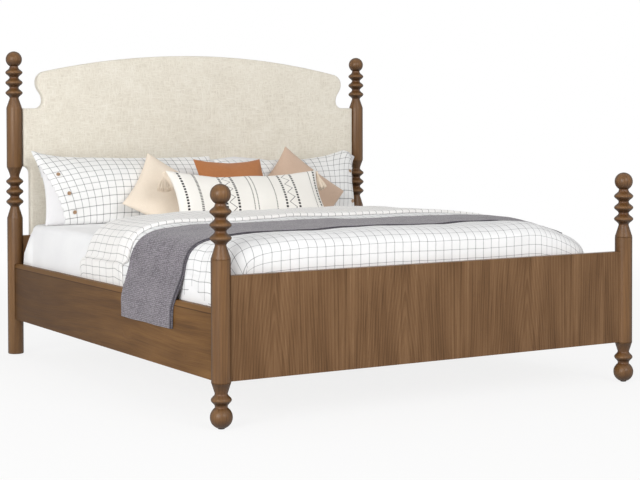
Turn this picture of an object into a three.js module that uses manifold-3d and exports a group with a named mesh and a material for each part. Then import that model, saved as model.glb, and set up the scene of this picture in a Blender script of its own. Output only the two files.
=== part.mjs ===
// An upholstered king bed, in millimetres: X across, +Y towards the head, +Z up, origin on the floor mid-way.
// Turned posts carry a panelled foot, hooked side rails, a slatted base and an arched padded headboard.
import * as THREE from 'three';
import { mergeVertices } from 'three/addons/utils/BufferGeometryUtils.js';
import Module from 'manifold-3d';

const wasm = await Module();
wasm.setup();

// The mattress and the room left round it set the size of the frame.
const mattressWidth = 1930;
const mattressLength = 2032;
const mattressThickness = 300;
const mattressCorner = 70;
const mattressRoll = 30;
const sideRoom = 18.5;
const footRoom = 53.5;
const headRoom = 73;
const baseHeight = 345;

// Clearances and the overrun that every cut shares.
const seatGap = 0.3;
const runningGap = 0.8;
const overrun = 5;
const weldDistance = 0.001;

// Panels and rails.
const panelThickness = 33;
const panelBottom = 178;
const footboardHeight = 399;
const lowerPanelHeight = 409;
const railHeight = 272;
const railBevelHeight = 24;
const railBevelDepth = 9;
const mortiseFloor = 20;
const railSeat = 33;

// Turned posts.
const shaftRadius = 38;
const beadRadius = 42;
const neckRadius = 22;
const beadPitch = 50;
const beadCount = 3;
const neckLength = 3;
const flareHollow = 1.25;
const finialNeckRadius = 20;
const finialNeckLength = 6;
const postEase = 2;
const headPost = {
  lowerShaft: 676, lowerCone: 52, flare: 46.5, upperShaft: 292, upperCone: 46, finialRadius: 39.5,
};
const footPost = {
  neckRadius: 24.5, neckLength: 6, footCone: 38, coneRadius: 36.5, shaft: 468, upperCone: 50, finialRadius: 39.5,
};
const footBall = { radius: 43.3, flatRadius: 14 };
const footBead = { pitch: 48, radius: 40 };
const groove = { width: 3, depth: 1.5 };
const roundFacets = 16;
const beadFacets = 6;
const ballFacets = 7;

// Floor pads, and the middle legs with their levelling glides.
const floorPad = { radius: 12.5, thickness: 3 };
const glide = { radius: 18, height: 10, stemRadius: 4, stemLength: 50, spareBore: 8, facets: 12 };
const centreLeg = { side: 44, shares: [0.46, 0.74] };

// Slatted base.
const slat = { count: 11, width: 70, thickness: 18, endRoom: 6, margin: 45 };
const ledge = { width: 25, height: 40, endRoom: 70 };
const beam = { width: 45, height: 70 };
const shoe = { wall: 3, length: 40, lip: 12 };

// Hook-on rail fittings.
const fitting = { width: 26, height: 150, thickness: 2.5, spacing: 80 };
const hook = { thickness: 4, height: 20, drop: 8, nose: 5 };

// Arched headboard.
const headboard = {
  reach: 25, crown: 7, edgeRound: 13, edgeWrap: 9, legGap: 37,
  shoulderBottom: 930, shoulderTop: 1217, waistInset: 106, waistFillet: 37, earInset: 72,
  earHeight: 1347, earRadius: 55, peak: 1491,
};
const earTurn = THREE.MathUtils.degToRad(78);
const crownShare = 0.85;
const core = { front: 5, thickness: 18 };
const backCover = { thickness: 2, inset: 4 };
const dowel = { radius: 5, length: 70, facets: 10, endRoom: 70 };

// Bedding.
const fittedSheet = { thickness: 2, hemRise: 15 };
const duvet = {
  loft: 72, tuck: 50, bareSheet: 813, footRound: 150, footDrop: 100, footCorner: 90, headRound: 40,
  headDrop: 34, turnback: 420, turnbackLift: 12, turnbackEdge: 8, foldPitch: 340, foldDepth: 6, rumple: 3,
  squareness: 8, slant: 80,
};
const duvetAcrossShares = [1, 0.998, 0.985, 0.96, 0.92, 0.85, 0.7, 0.45, 0.2, 0];
const duvetSideShare = 0.9;
const blanket = {
  width: 470, thickness: 10, drop: 115, leftShare: 0.26, rightShare: 0.35, wave: 5, rise: 100,
  slant: 70,
};
const blanketAcrossShares = [
  -0.998, -0.985, -0.96, -0.92, -0.85, -0.7, -0.45, -0.2, 0, 0.2, 0.45, 0.7, 0.85, 0.92,
];
const blanketProbeShare = 0.002;
const blanketHangShare = 0.45;
const blanketColumns = 6;

// Pillows and cushions stand in leaning layers, each resting on the one behind it.
const lean = THREE.MathUtils.degToRad(33);
const sham = {
  width: 934, height: 428, thickness: 130, rows: 9, columns: 14, topRoom: 66, tuck: 6, between: 10,
};
const sleeper = { width: 660, height: 335, thickness: 80, rows: 8, columns: 10, tuck: 4, x: 205 };
const sleeperLean = THREE.MathUtils.degToRad(14);
const corner = { side: 368, thickness: 100, rows: 9, tuck: 94 };
const rust = { width: 372, height: 360, thickness: 90, rows: 8, columns: 9, tuck: 6, x: -12 };
const lumbar = { width: 856, height: 293, thickness: 110, rows: 8, columns: 14, tuck: 6, x: -8 };
const beige = { x: -336, turn: THREE.MathUtils.degToRad(8.5) };
const taupe = { x: 410, turn: THREE.MathUtils.degToRad(-3) };
const cushionPull = 0.06;
const cushionFullness = 0.42;

// Places that follow from the sizes above.
const acrossSpacing = mattressWidth + 2 * sideRoom + panelThickness;
const alongSpacing = panelThickness / 2 + footRoom + mattressLength + headRoom + headboard.reach;
const postX = acrossSpacing / 2;
const footLine = (footBall.radius - beadRadius - alongSpacing) / 2;
const headLine = footLine + alongSpacing;
const mattressFoot = footLine + panelThickness / 2 + footRoom;
const mattressHead = mattressFoot + mattressLength;
const railInner = postX - panelThickness / 2;
const railOuter = postX + panelThickness / 2;
const railTop = panelBottom + railHeight;
const footboardInner = footLine + panelThickness / 2;
const lowerPanelInner = headLine - panelThickness / 2;
const slatTop = baseHeight - seatGap;
const slatBottom = slatTop - slat.thickness;
const beamTop = slatBottom - seatGap;
const beamBottom = beamTop - beam.height;
const sheetTop = baseHeight + mattressThickness + seatGap + fittedSheet.thickness;
const headboardFace = headLine - headboard.reach;
const duvetFoot = footboardInner + seatGap;
const duvetHead = mattressHead - duvet.bareSheet;

// Materials.
const wood = new THREE.MeshStandardMaterial({ color: '#8a6344', roughness: 0.55, metalness: 0 });
const plainWood = new THREE.MeshStandardMaterial({ color: '#b08d63', roughness: 0.75, metalness: 0 });
const plywood = new THREE.MeshStandardMaterial({ color: '#c2a577', roughness: 0.8, metalness: 0 });
const steel = new THREE.MeshStandardMaterial({ color: '#74777a', roughness: 0.4, metalness: 0.9 });
const nylon = new THREE.MeshStandardMaterial({ color: '#2b2a29', roughness: 0.6, metalness: 0 });
const upholstery = new THREE.MeshStandardMaterial({ color: '#e3dccb', roughness: 0.95, metalness: 0 });
const lining = new THREE.MeshStandardMaterial({ color: '#3a3734', roughness: 0.95, metalness: 0 });
const ticking = new THREE.MeshStandardMaterial({ color: '#eeece6', roughness: 0.9, metalness: 0 });
const whiteCotton = new THREE.MeshStandardMaterial({ color: '#ededeb', roughness: 0.9, metalness: 0 });
const checkCotton = new THREE.MeshStandardMaterial({ color: '#f4f4f1', roughness: 0.9, metalness: 0 });
const knit = new THREE.MeshStandardMaterial({ color: '#8b868f', roughness: 0.95, metalness: 0 });
const beigeLinen = new THREE.MeshStandardMaterial({ color: '#e3d4bf', roughness: 0.95, metalness: 0 });
const taupeLinen = new THREE.MeshStandardMaterial({ color: '#c8aa96', roughness: 0.95, metalness: 0 });
const rustLinen = new THREE.MeshStandardMaterial({ color: '#be7341', roughness: 0.9, metalness: 0 });
const creamCotton = new THREE.MeshStandardMaterial({ color: '#f3efe6', roughness: 0.95, metalness: 0 });

const bed = new THREE.Group();

function addPiece(name, geometry, material, place = [0, 0, 0], parent = bed) {
  const mesh = new THREE.Mesh(geometry, material.clone());
  mesh.name = name;
  mesh.position.set(...place);
  parent.add(mesh);
  return mesh;
}

// Solids: a closed geometry goes to the cutter and back.
function weld(geometry) {
  const bare = geometry.clone();
  bare.deleteAttribute('normal');
  bare.deleteAttribute('uv');
  return mergeVertices(bare, weldDistance);
}

function toSolid(geometry) {
  const welded = weld(geometry);
  const vertProperties = Float32Array.from(welded.attributes.position.array);
  const triVerts = Uint32Array.from(welded.index.array);
  return new wasm.Manifold(new wasm.Mesh({ numProp: 3, vertProperties, triVerts }));
}

function toGeometry(solid) {
  const mesh = solid.getMesh();
  const geometry = new THREE.BufferGeometry();
  geometry.setAttribute('position', new THREE.BufferAttribute(mesh.vertProperties, 3));
  geometry.setIndex(new THREE.BufferAttribute(mesh.triVerts, 1));
  geometry.computeVertexNormals();
  return geometry;
}

function cut(geometry, ...cutters) {
  let solid = toSolid(geometry);
  for (const cutter of cutters) {
    solid = solid.subtract(toSolid(cutter));
  }
  return toGeometry(solid);
}

function join(first, ...others) {
  let solid = toSolid(first);
  for (const other of others) {
    solid = solid.add(toSolid(other));
  }
  return toGeometry(solid);
}

// A block from its lowest to its highest place along each axis.
function block([x0, x1], [y0, y1], [z0, z1]) {
  const geometry = new THREE.BoxGeometry(Math.abs(x1 - x0), Math.abs(y1 - y0), Math.abs(z1 - z0));
  return geometry.translate((x0 + x1) / 2, (y0 + y1) / 2, (z0 + z1) / 2);
}

// An outline drawn in X and Z, drawn out along Y.
function extrudeAlongY(outline, y0, y1) {
  const shape = new THREE.Shape(outline);
  const geometry = new THREE.ExtrudeGeometry(shape, { depth: y1 - y0, bevelEnabled: false });
  return geometry.rotateX(Math.PI / 2).translate(0, y1, 0);
}

// Swaps the faces of a geometry whose faces point inwards.
function facingOut(geometry) {
  const { position } = geometry.attributes;
  const index = geometry.index.array;
  const [a, b, c] = [new THREE.Vector3(), new THREE.Vector3(), new THREE.Vector3()];
  let volume = 0;
  for (let i = 0; i < index.length; i += 3) {
    a.fromBufferAttribute(position, index[i]);
    b.fromBufferAttribute(position, index[i + 1]);
    c.fromBufferAttribute(position, index[i + 2]);
    volume += a.dot(b.cross(c));
  }
  if (volume < 0) {
    for (let i = 0; i < index.length; i += 3) {
      [index[i + 1], index[i + 2]] = [index[i + 2], index[i + 1]];
    }
  }
  return geometry;
}

// The triangles that close the end of a skin whose ring is this outline.
function endOf(outline) {
  return THREE.ShapeUtils.triangulateShape(outline, []);
}

// The triangles that close a strip whose ring runs along its top and back along its underside.
function endOfStrip(columns) {
  const triangles = [];
  const last = 2 * columns + 1;
  for (let j = 0; j < columns; j += 1) {
    triangles.push([j, j + 1, last - j], [j + 1, last - j - 1, last - j]);
  }
  return triangles;
}

// Joins rings of equal length into one closed skin, whose two ends are closed by the end triangles.
function skin(rings, endTriangles) {
  const count = rings[0].length;
  const points = rings.flat();
  const index = [];
  for (let ring = 0; ring + 1 < rings.length; ring += 1) {
    for (let i = 0; i < count; i += 1) {
      const next = (i + 1) % count;
      const [a, b] = [ring * count + i, ring * count + next];
      index.push(a, b, b + count, a, b + count, a + count);
    }
  }
  const last = (rings.length - 1) * count;
  for (const [a, b, c] of endTriangles) {
    index.push(a, c, b, last + a, last + b, last + c);
  }
  const geometry = new THREE.BufferGeometry().setFromPoints(points);
  geometry.setIndex(index);
  facingOut(geometry).computeVertexNormals();
  return geometry;
}

// The outline moved inwards by a distance; outlines run anticlockwise.
function insetOutline(outline, distance) {
  const count = outline.length;
  return outline.map((point, i) => {
    const before = point.clone().sub(outline[(i + count - 1) % count]).normalize();
    const after = outline[(i + 1) % count].clone().sub(point).normalize();
    const inward = new THREE.Vector2(-before.y - after.y, before.x + after.x);
    return point.clone().addScaledVector(inward, distance / (1 + before.dot(after)));
  });
}

function arcPoints(centreX, centreZ, radius, fromAngle, toAngle, steps) {
  const points = [];
  for (let i = 0; i <= steps; i += 1) {
    const angle = fromAngle + ((toAngle - fromAngle) * i) / steps;
    points.push(new THREE.Vector2(centreX + radius * Math.cos(angle), centreZ + radius * Math.sin(angle)));
  }
  return points;
}

// A turned outline, built upwards from its foot.
class Turning {
  constructor(height, radius) {
    this.height = height;
    this.radius = radius;
    this.points = [new THREE.Vector2(0, height), new THREE.Vector2(radius, height)];
  }

  line(length, radius = this.radius) {
    this.height += length;
    this.radius = radius;
    this.points.push(new THREE.Vector2(radius, this.height));
    return this;
  }

  vGroove() {
    const shaft = this.radius;
    return this.line(groove.width / 2, shaft - groove.depth).line(groove.width / 2, shaft);
  }

  bead(pitch, peak) {
    const [start, neck] = [this.height, this.radius];
    for (let i = 1; i <= beadFacets; i += 1) {
      const share = i / beadFacets;
      const swell = (1 - Math.cos(2 * Math.PI * share)) / 2;
      this.points.push(new THREE.Vector2(neck + (peak - neck) * swell, start + pitch * share));
    }
    this.height = start + pitch;
    return this;
  }

  // A hollow sweep out to a wider radius.
  flare(length, radius) {
    const [start, neck] = [this.height, this.radius];
    const steps = 3;
    for (let i = 1; i <= steps; i += 1) {
      const share = i / steps;
      const width = neck + (radius - neck) * share ** flareHollow;
      this.points.push(new THREE.Vector2(width, start + length * share));
    }
    this.height = start + length;
    this.radius = radius;
    return this;
  }

  // A ball that grows out of the neck below it and ends at a neck, or on the axis at its top.
  ball(radius, endRadius = 0) {
    const startAngle = -Math.acos(this.radius / radius);
    const endAngle = Math.acos(endRadius / radius);
    const centre = this.height - radius * Math.sin(startAngle);
    const arc = [
      ...arcPoints(0, centre, radius, startAngle, 0, Math.floor(ballFacets / 2)).slice(1),
      ...arcPoints(0, centre, radius, 0, endAngle, Math.ceil(ballFacets / 2)).slice(1),
    ];
    if (endRadius === 0) {
      arc[arc.length - 1].x = 0;
    }
    this.points.push(...arc);
    this.height = centre + radius * Math.sin(endAngle);
    this.radius = endRadius;
    return this;
  }

  solid(facets = roundFacets) {
    if (this.radius > 0) {
      this.points.push(new THREE.Vector2(0, this.height));
    }
    return facingOut(weld(new THREE.LatheGeometry(this.points, facets).rotateX(Math.PI / 2)));
  }
}

// A cone that narrows the shaft to a neck, and the beads above it.
function addBeads(turning, cone) {
  turning.line(cone, neckRadius).line(neckLength);
  for (let i = 0; i < beadCount; i += 1) {
    turning.bead(beadPitch, beadRadius);
  }
  return turning;
}

function addFinial(turning, radius) {
  return turning.line(finialNeckLength, finialNeckRadius).ball(radius);
}

function headPostBlank() {
  const turning = new Turning(floorPad.thickness + seatGap, shaftRadius - postEase);
  turning.line(postEase, shaftRadius);
  turning.line(headPost.lowerShaft - turning.height);
  addBeads(turning, headPost.lowerCone).flare(headPost.flare, shaftRadius).line(headPost.upperShaft);
  return addFinial(addBeads(turning, headPost.upperCone), headPost.finialRadius).solid();
}

function footPostBlank() {
  const turning = new Turning(floorPad.thickness + seatGap, footBall.flatRadius);
  turning.ball(footBall.radius, footPost.neckRadius).line(footPost.neckLength);
  turning.bead(footBead.pitch, footBead.radius).line(footPost.footCone, footPost.coneRadius);
  turning.line(groove.width / 2, shaftRadius).vGroove();
  turning.line(footPost.shaft - 2 * groove.width).vGroove();
  return addFinial(addBeads(turning, footPost.upperCone), footPost.finialRadius).solid();
}

// Cuts in a post, in the post's own frame. The panel side and the rail side are +1 or -1.
function panelMortise(panelSide, bottom, top) {
  const across = [panelSide * mortiseFloor, panelSide * (shaftRadius + overrun)];
  const thick = panelThickness / 2 + seatGap;
  return block(across, [-thick, thick], [bottom - seatGap, top + seatGap]);
}

function fittingHeights() {
  const middle = panelBottom + railHeight / 2;
  return { middle, low: middle - fitting.height / 2, high: middle + fitting.height / 2 };
}

function railHousing(railSide) {
  const { low, high } = fittingHeights();
  const halfThick = panelThickness / 2 + seatGap;
  const halfPlate = fitting.width / 2 + seatGap;
  const halfPocket = hook.thickness / 2 + runningGap;
  const plateBack = railSeat - fitting.thickness - seatGap;
  const pocketFloor = plateBack - hook.nose - 2 * runningGap;
  const outside = railSide * (shaftRadius + overrun);
  const railHeights = [panelBottom - seatGap, railTop + seatGap];
  const seat = block([-halfThick, halfThick], [railSide * railSeat, outside], railHeights);
  const plateHeights = [low - seatGap, high + seatGap];
  const plate = block([-halfPlate, halfPlate], [railSide * plateBack, outside], plateHeights);
  const pocketHeights = [low + overrun, high - overrun];
  const pocket = block([-halfPocket, halfPocket], [railSide * pocketFloor, outside], pocketHeights);
  return [seat, plate, pocket];
}

function dowelHeights() {
  return [headboard.shoulderBottom + dowel.endRoom, headboard.shoulderTop - dowel.endRoom];
}

function dowelSolid(clearance) {
  const cylinder = new THREE.CylinderGeometry(
    dowel.radius + clearance, dowel.radius + clearance, dowel.length + 2 * clearance, dowel.facets);
  return cylinder.rotateZ(Math.PI / 2);
}

function coreMiddle() {
  return core.thickness / 2 - core.front;
}

// A dowel lies half in the post and half in the core, in the post's own frame.
function dowelPlace(panelSide, height) {
  return [panelSide * (shaftRadius + headboard.edgeWrap / 2), coreMiddle(), height];
}

function addPosts() {
  const lowerPanelTop = panelBottom + lowerPanelHeight;
  const footboardTop = panelBottom + footboardHeight;
  for (const [side, sign] of [['left', -1], ['right', 1]]) {
    const dowelHoles = dowelHeights().map((z) => dowelSolid(seatGap).translate(...dowelPlace(-sign, z)));
    const headMortise = panelMortise(-sign, panelBottom, lowerPanelTop);
    const head = cut(headPostBlank(), headMortise, ...railHousing(-1), ...dowelHoles);
    addPiece(`headboard_post_${side}`, head, wood, [sign * postX, headLine, 0]);
    const foot = cut(footPostBlank(), panelMortise(-sign, panelBottom, footboardTop), ...railHousing(1));
    addPiece(`footboard_post_${side}`, foot, wood, [sign * postX, footLine, 0]);
    dowelHeights().forEach((z, level) => {
      const [x, y] = dowelPlace(-sign, z);
      const name = `headboard_dowel_${level === 0 ? 'lower' : 'upper'}_${side}`;
      addPiece(name, dowelSolid(0), plainWood, [sign * postX + x, headLine + y, z]);
    });
    for (const [end, line] of [['head', headLine], ['foot', footLine]]) {
      const pad = new Turning(0, floorPad.radius).line(floorPad.thickness).solid();
      addPiece(`floor_pad_${end}_${side}`, pad, nylon, [sign * postX, line, 0]);
    }
  }
}

// Wood panels let into the posts.
function addPanels() {
  const half = postX - mortiseFloor - seatGap;
  const across = [-half, half];
  const thick = panelThickness / 2;
  const foot = block(across, [-thick, thick], [panelBottom, panelBottom + footboardHeight]);
  const head = block(across, [-thick, thick], [panelBottom, panelBottom + lowerPanelHeight]);
  addPiece('footboard_panel', foot, wood, [0, footLine, 0]);
  addPiece('headboard_lower_panel', head, wood, [0, headLine, 0]);
}

// A side rail, with a bevelled top edge outside and a recess in each end for its hook plate.
function railBlank(sign) {
  const outline = [
    new THREE.Vector2(-panelThickness / 2, panelBottom),
    new THREE.Vector2(panelThickness / 2, panelBottom),
    new THREE.Vector2(panelThickness / 2, railTop - railBevelHeight),
    new THREE.Vector2(panelThickness / 2 - railBevelDepth, railTop),
    new THREE.Vector2(-panelThickness / 2, railTop),
  ].map((point) => new THREE.Vector2(sign * point.x, point.y));
  const rail = extrudeAlongY(outline, footLine + railSeat + seatGap, headLine - railSeat - seatGap);
  return rail;
}

function hookPlateRecess(line, railSide) {
  const { low, high } = fittingHeights();
  const half = fitting.width / 2 + seatGap;
  const recessFloor = line + railSide * (railSeat + 2 * seatGap + fitting.thickness);
  const along = [line + railSide * (railSeat - overrun), recessFloor];
  return block([-half, half], along, [low - seatGap, high + seatGap]);
}

function addRails() {
  for (const [side, sign] of [['left', -1], ['right', 1]]) {
    const rail = cut(railBlank(sign), hookPlateRecess(footLine, 1), hookPlateRecess(headLine, -1));
    addPiece(`side_rail_${side}`, rail, wood, [sign * postX, 0, 0]);
    const inner = -sign * panelThickness / 2;
    const strip = block(
      [inner - sign * seatGap, inner - sign * (seatGap + ledge.width)],
      [footLine + ledge.endRoom, headLine - ledge.endRoom],
      [slatBottom - seatGap - ledge.height, slatBottom - seatGap]);
    addPiece(`slat_ledge_${side}`, strip, plainWood, [sign * postX, 0, 0]);
  }
}

function hookHeights() {
  const { middle } = fittingHeights();
  return [middle - fitting.spacing / 2, middle + fitting.spacing / 2];
}

// The slotted plate on a post; its slots are long enough for the hooks to enter before they drop.
function slotPlate(railSide) {
  const { low, high } = fittingHeights();
  const half = fitting.width / 2;
  const thick = [railSide * (railSeat - fitting.thickness), railSide * railSeat];
  const plate = block([-half, half], thick, [low, high]);
  const halfSlot = hook.thickness / 2 + runningGap / 2;
  const slots = hookHeights().map((z) => block(
    [-halfSlot, halfSlot],
    [railSide * (railSeat - fitting.thickness - overrun), railSide * (railSeat + overrun)],
    [z - hook.height / 2 - seatGap, z + hook.height / 2 + hook.drop + runningGap]));
  return cut(plate, ...slots);
}

// The rail's plate with two hooks that pass through the slots and drop behind the slotted plate.
function hookPlate(railSide) {
  const { low, high } = fittingHeights();
  const half = fitting.width / 2;
  const face = railSeat + seatGap;
  const plate = block([-half, half], [railSide * face, railSide * (face + fitting.thickness)], [low, high]);
  const behind = railSeat - fitting.thickness - runningGap;
  const hooks = hookHeights().flatMap((z) => [
    block(
      [-hook.thickness / 2, hook.thickness / 2],
      [railSide * (behind - hook.nose), railSide * (face + fitting.thickness / 2)],
      [z - hook.height / 2, z + hook.height / 2]),
    block(
      [-hook.thickness / 2, hook.thickness / 2],
      [railSide * (behind - hook.nose), railSide * behind],
      [z - hook.height / 2 - hook.drop, z + hook.height / 2]),
  ]);
  return join(plate, ...hooks);
}

function addFittings() {
  for (const [side, sign] of [['left', -1], ['right', 1]]) {
    for (const [end, line, railSide] of [['head', headLine, -1], ['foot', footLine, 1]]) {
      addPiece(`slot_plate_${end}_${side}`, slotPlate(railSide), steel, [sign * postX, line, 0]);
      addPiece(`hook_plate_${end}_${side}`, hookPlate(railSide), steel, [sign * postX, line, 0]);
    }
  }
}

function addSlats() {
  const reach = railInner - slat.endRoom;
  const plank = block([-reach, reach], [-slat.width / 2, slat.width / 2], [slatBottom, slatTop]);
  const first = mattressFoot + slat.margin;
  const last = mattressHead - slat.margin;
  for (let i = 0; i < slat.count; i += 1) {
    const y = first + ((last - first) * i) / (slat.count - 1);
    addPiece(`slat_${String(i + 1).padStart(2, '0')}`, plank, plainWood, [0, y, 0]);
  }
}

// The middle beam drops into a steel shoe at each end and stands on two legs.
function beamShoe(wallY, inwards) {
  const halfOut = beam.width / 2 + seatGap + shoe.wall;
  const halfIn = beam.width / 2 + seatGap;
  const back = wallY + inwards * seatGap;
  const front = back + inwards * (shoe.wall + shoe.length);
  const heights = [beamBottom - seatGap - shoe.wall, beamTop - shoe.lip];
  const outer = block([-halfOut, halfOut], [back, front], heights);
  const hollow = [back + inwards * shoe.wall, front + inwards * overrun];
  const inner = block([-halfIn, halfIn], hollow, [beamBottom - seatGap, beamTop]);
  return cut(outer, inner);
}

function addBeamAndLegs() {
  const endRoom = 2 * seatGap + shoe.wall;
  const y0 = footboardInner + endRoom;
  const y1 = lowerPanelInner - endRoom;
  const beamBlock = block([-beam.width / 2, beam.width / 2], [y0, y1], [beamBottom, beamTop]);
  addPiece('centre_beam', beamBlock, plainWood);
  addPiece('beam_shoe_foot', beamShoe(footboardInner, 1), steel);
  addPiece('beam_shoe_head', beamShoe(lowerPanelInner, -1), steel);
  const half = centreLeg.side / 2;
  const post = block([-half, half], [-half, half], [glide.height + seatGap, beamBottom - seatGap]);
  const boreTop = glide.height + glide.stemLength + glide.spareBore;
  const bore = new Turning(0, glide.stemRadius + seatGap).line(boreTop).solid(glide.facets);
  const disc = new Turning(0, glide.radius).line(glide.height);
  const glideSolid = disc.line(0, glide.stemRadius).line(glide.stemLength).solid(glide.facets);
  const leg = cut(post, bore);
  centreLeg.shares.forEach((share, i) => {
    const y = y0 + (y1 - y0) * share;
    const end = i === 0 ? 'foot' : 'head';
    addPiece(`centre_leg_${end}`, leg, plainWood, [0, y, 0]);
    addPiece(`levelling_glide_${end}`, glideSolid, nylon, [0, y, 0]);
  });
}

// The right half of the headboard's outline, from its lower corner up to the peak.
function halfHeadboardOutline() {
  const postFace = postX - shaftRadius;
  const edge = postFace - seatGap;
  const leg = postFace - headboard.legGap;
  const waist = postFace - headboard.waistInset;
  const ear = postFace - headboard.earInset;
  const bottom = panelBottom + lowerPanelHeight + seatGap;
  const { waistFillet, shoulderBottom, shoulderTop, earHeight, earRadius, peak } = headboard;
  const legFillet = edge - leg;
  const waistHeight = shoulderTop + waistFillet;
  const rise = earHeight - waistHeight;
  const sweep = 2 * Math.atan((ear - waist) / rise);
  const sweepRadius = rise / (2 * Math.sin(sweep));
  const right = [
    new THREE.Vector2(leg, bottom),
    ...arcPoints(edge, shoulderBottom - legFillet, legFillet, Math.PI, Math.PI / 2, 3),
    new THREE.Vector2(edge, shoulderTop),
    ...arcPoints(waist + waistFillet, waistHeight, waistFillet, 1.5 * Math.PI, Math.PI, 3),
    ...arcPoints(waist + sweepRadius, waistHeight, sweepRadius, Math.PI, Math.PI - sweep, 3).slice(1),
    ...arcPoints(ear - sweepRadius, earHeight, sweepRadius, -sweep, 0, 3).slice(1),
    ...arcPoints(ear - earRadius, earHeight, earRadius, 0, earTurn, 5).slice(1),
  ];
  const end = right[right.length - 1];
  const fall = peak - end.y;
  const archRadius = (end.x ** 2 + fall ** 2) / (2 * fall);
  const endAngle = Math.acos(end.x / archRadius);
  right.push(...arcPoints(0, peak - archRadius, archRadius, endAngle, Math.PI / 2, 6).slice(1));
  return right;
}

function headboardOutline() {
  const right = halfHeadboardOutline();
  const left = right.slice(0, -1).reverse().map((point) => new THREE.Vector2(-point.x, point.y));
  return [...right, ...left];
}

function ringAt(outline, y) {
  return outline.map((point) => new THREE.Vector3(point.x, y, point.y));
}

// Foam and cover: a rounded, crowned front that wraps the edge of the core.
function paddingSolid(outline, coreBack) {
  const rings = [ringAt(outline, coreBack)];
  const edgeSteps = 3;
  for (let i = 0; i <= edgeSteps; i += 1) {
    const angle = (Math.PI / 2) * (i / edgeSteps);
    const inset = headboard.edgeRound * (1 - Math.cos(angle));
    const forward = headboard.reach - headboard.edgeRound * (1 - Math.sin(angle));
    rings.push(ringAt(insetOutline(outline, inset), headLine - forward));
  }
  const middle = new THREE.Vector2(0, (panelBottom + headboard.peak) / 2);
  const crownOutline = outline.map((point) => point.clone().lerp(middle, 1 - crownShare));
  rings.push(ringAt(crownOutline, headLine - headboard.reach - headboard.crown));
  return skin(rings, endOf(outline));
}

function addHeadboard() {
  const outline = headboardOutline();
  const coreFront = headLine - core.front;
  const coreBack = coreFront + core.thickness;
  const coreBlank = extrudeAlongY(insetOutline(outline, headboard.edgeWrap), coreFront, coreBack);
  const pocket = extrudeAlongY(
    insetOutline(outline, headboard.edgeWrap - seatGap), coreFront - seatGap, coreBack + overrun);
  const holes = [-1, 1].flatMap((sign) => dowelHeights().map((z) => {
    const [x, y] = dowelPlace(-sign, z);
    return dowelSolid(seatGap).translate(sign * postX + x, headLine + y, z);
  }));
  addPiece('headboard_padding', cut(paddingSolid(outline, coreBack), pocket, ...holes), upholstery);
  addPiece('headboard_core', cut(coreBlank, ...holes), plywood);
  const coverFront = coreBack + seatGap;
  const coverBack = coverFront + backCover.thickness;
  const cover = extrudeAlongY(insetOutline(outline, backCover.inset), coverFront, coverBack);
  addPiece('headboard_back_cover', cover, lining);
}

// A rounded block like the mattress, larger all round by a growth.
function mattressForm(growth, bottom) {
  const halfWidth = mattressWidth / 2;
  const cornerSteps = 4;
  const corners = [[1, -1, -Math.PI / 2], [1, 1, 0], [-1, 1, Math.PI / 2], [-1, -1, Math.PI]];
  const middle = (mattressFoot + mattressHead) / 2;
  const plan = corners.flatMap(([signX, signY, angle]) => arcPoints(
    signX * (halfWidth - mattressCorner), middle + signY * (mattressLength / 2 - mattressCorner),
    mattressCorner, angle, angle + Math.PI / 2, cornerSteps));
  const top = baseHeight + mattressThickness + growth;
  const radius = mattressRoll + growth;
  const edgeSteps = 3;
  const rings = [];
  const addRing = (inset, z) => {
    const ring = insetOutline(plan, inset - growth);
    rings.push(ring.map((point) => new THREE.Vector3(point.x, point.y, z)));
  };
  if (bottom === baseHeight) {
    addRing(mattressRoll / 2, baseHeight);
    addRing(0, baseHeight + mattressRoll / 2);
  } else {
    addRing(0, bottom);
  }
  for (let i = 0; i <= edgeSteps; i += 1) {
    const angle = (Math.PI / 2) * (i / edgeSteps);
    addRing(radius * (1 - Math.cos(angle)), top - radius * (1 - Math.sin(angle)));
  }
  return skin(rings, endOf(plan));
}

function addMattressAndSheet() {
  addPiece('mattress', mattressForm(0, baseHeight), ticking);
  const hem = baseHeight + fittedSheet.hemRise;
  const outer = mattressForm(seatGap + fittedSheet.thickness, hem);
  const inner = mattressForm(seatGap, hem - overrun);
  addPiece('fitted_sheet', cut(outer, inner), whiteCotton);
}

// The duvet's places along the bed, from its foot to its turned-back head.
function duvetStations() {
  const plainStart = duvetFoot + duvet.footRound;
  const turnback = duvetHead - duvet.turnback;
  const stations = [];
  const roundSteps = 4;
  for (let i = 0; i < roundSteps; i += 1) {
    const angle = (Math.PI / 2) * (i / roundSteps);
    stations.push(duvetFoot + duvet.footRound * (1 - Math.cos(angle)));
  }
  const plainSteps = 7;
  for (let i = 0; i <= plainSteps; i += 1) {
    stations.push(plainStart + ((turnback - plainStart) * i) / plainSteps);
  }
  const flapSteps = 3;
  for (let i = 0; i <= flapSteps; i += 1) {
    const start = turnback + duvet.turnbackEdge;
    stations.push(start + ((duvetHead - duvet.headRound - start) * i) / flapSteps);
  }
  for (let i = 1; i <= roundSteps; i += 1) {
    const angle = (Math.PI / 2) * (i / roundSteps);
    stations.push(duvetHead - duvet.headRound * (1 - Math.sin(angle)));
  }
  return stations;
}

// How round the duvet is at a place along the bed: 0 at an end face, 1 where it is full.
function endShares(y) {
  const footLeft = THREE.MathUtils.clamp(1 - (y - duvetFoot) / duvet.footRound, 0, 1);
  const headLeft = THREE.MathUtils.clamp(1 - (duvetHead - y) / duvet.headRound, 0, 1);
  return { foot: 1 - Math.sqrt(1 - footLeft ** 2), head: 1 - Math.sqrt(1 - headLeft ** 2) };
}

function duvetHalfWidth(y) {
  return railInner - seatGap - duvet.footCorner * endShares(y).foot;
}

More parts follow.
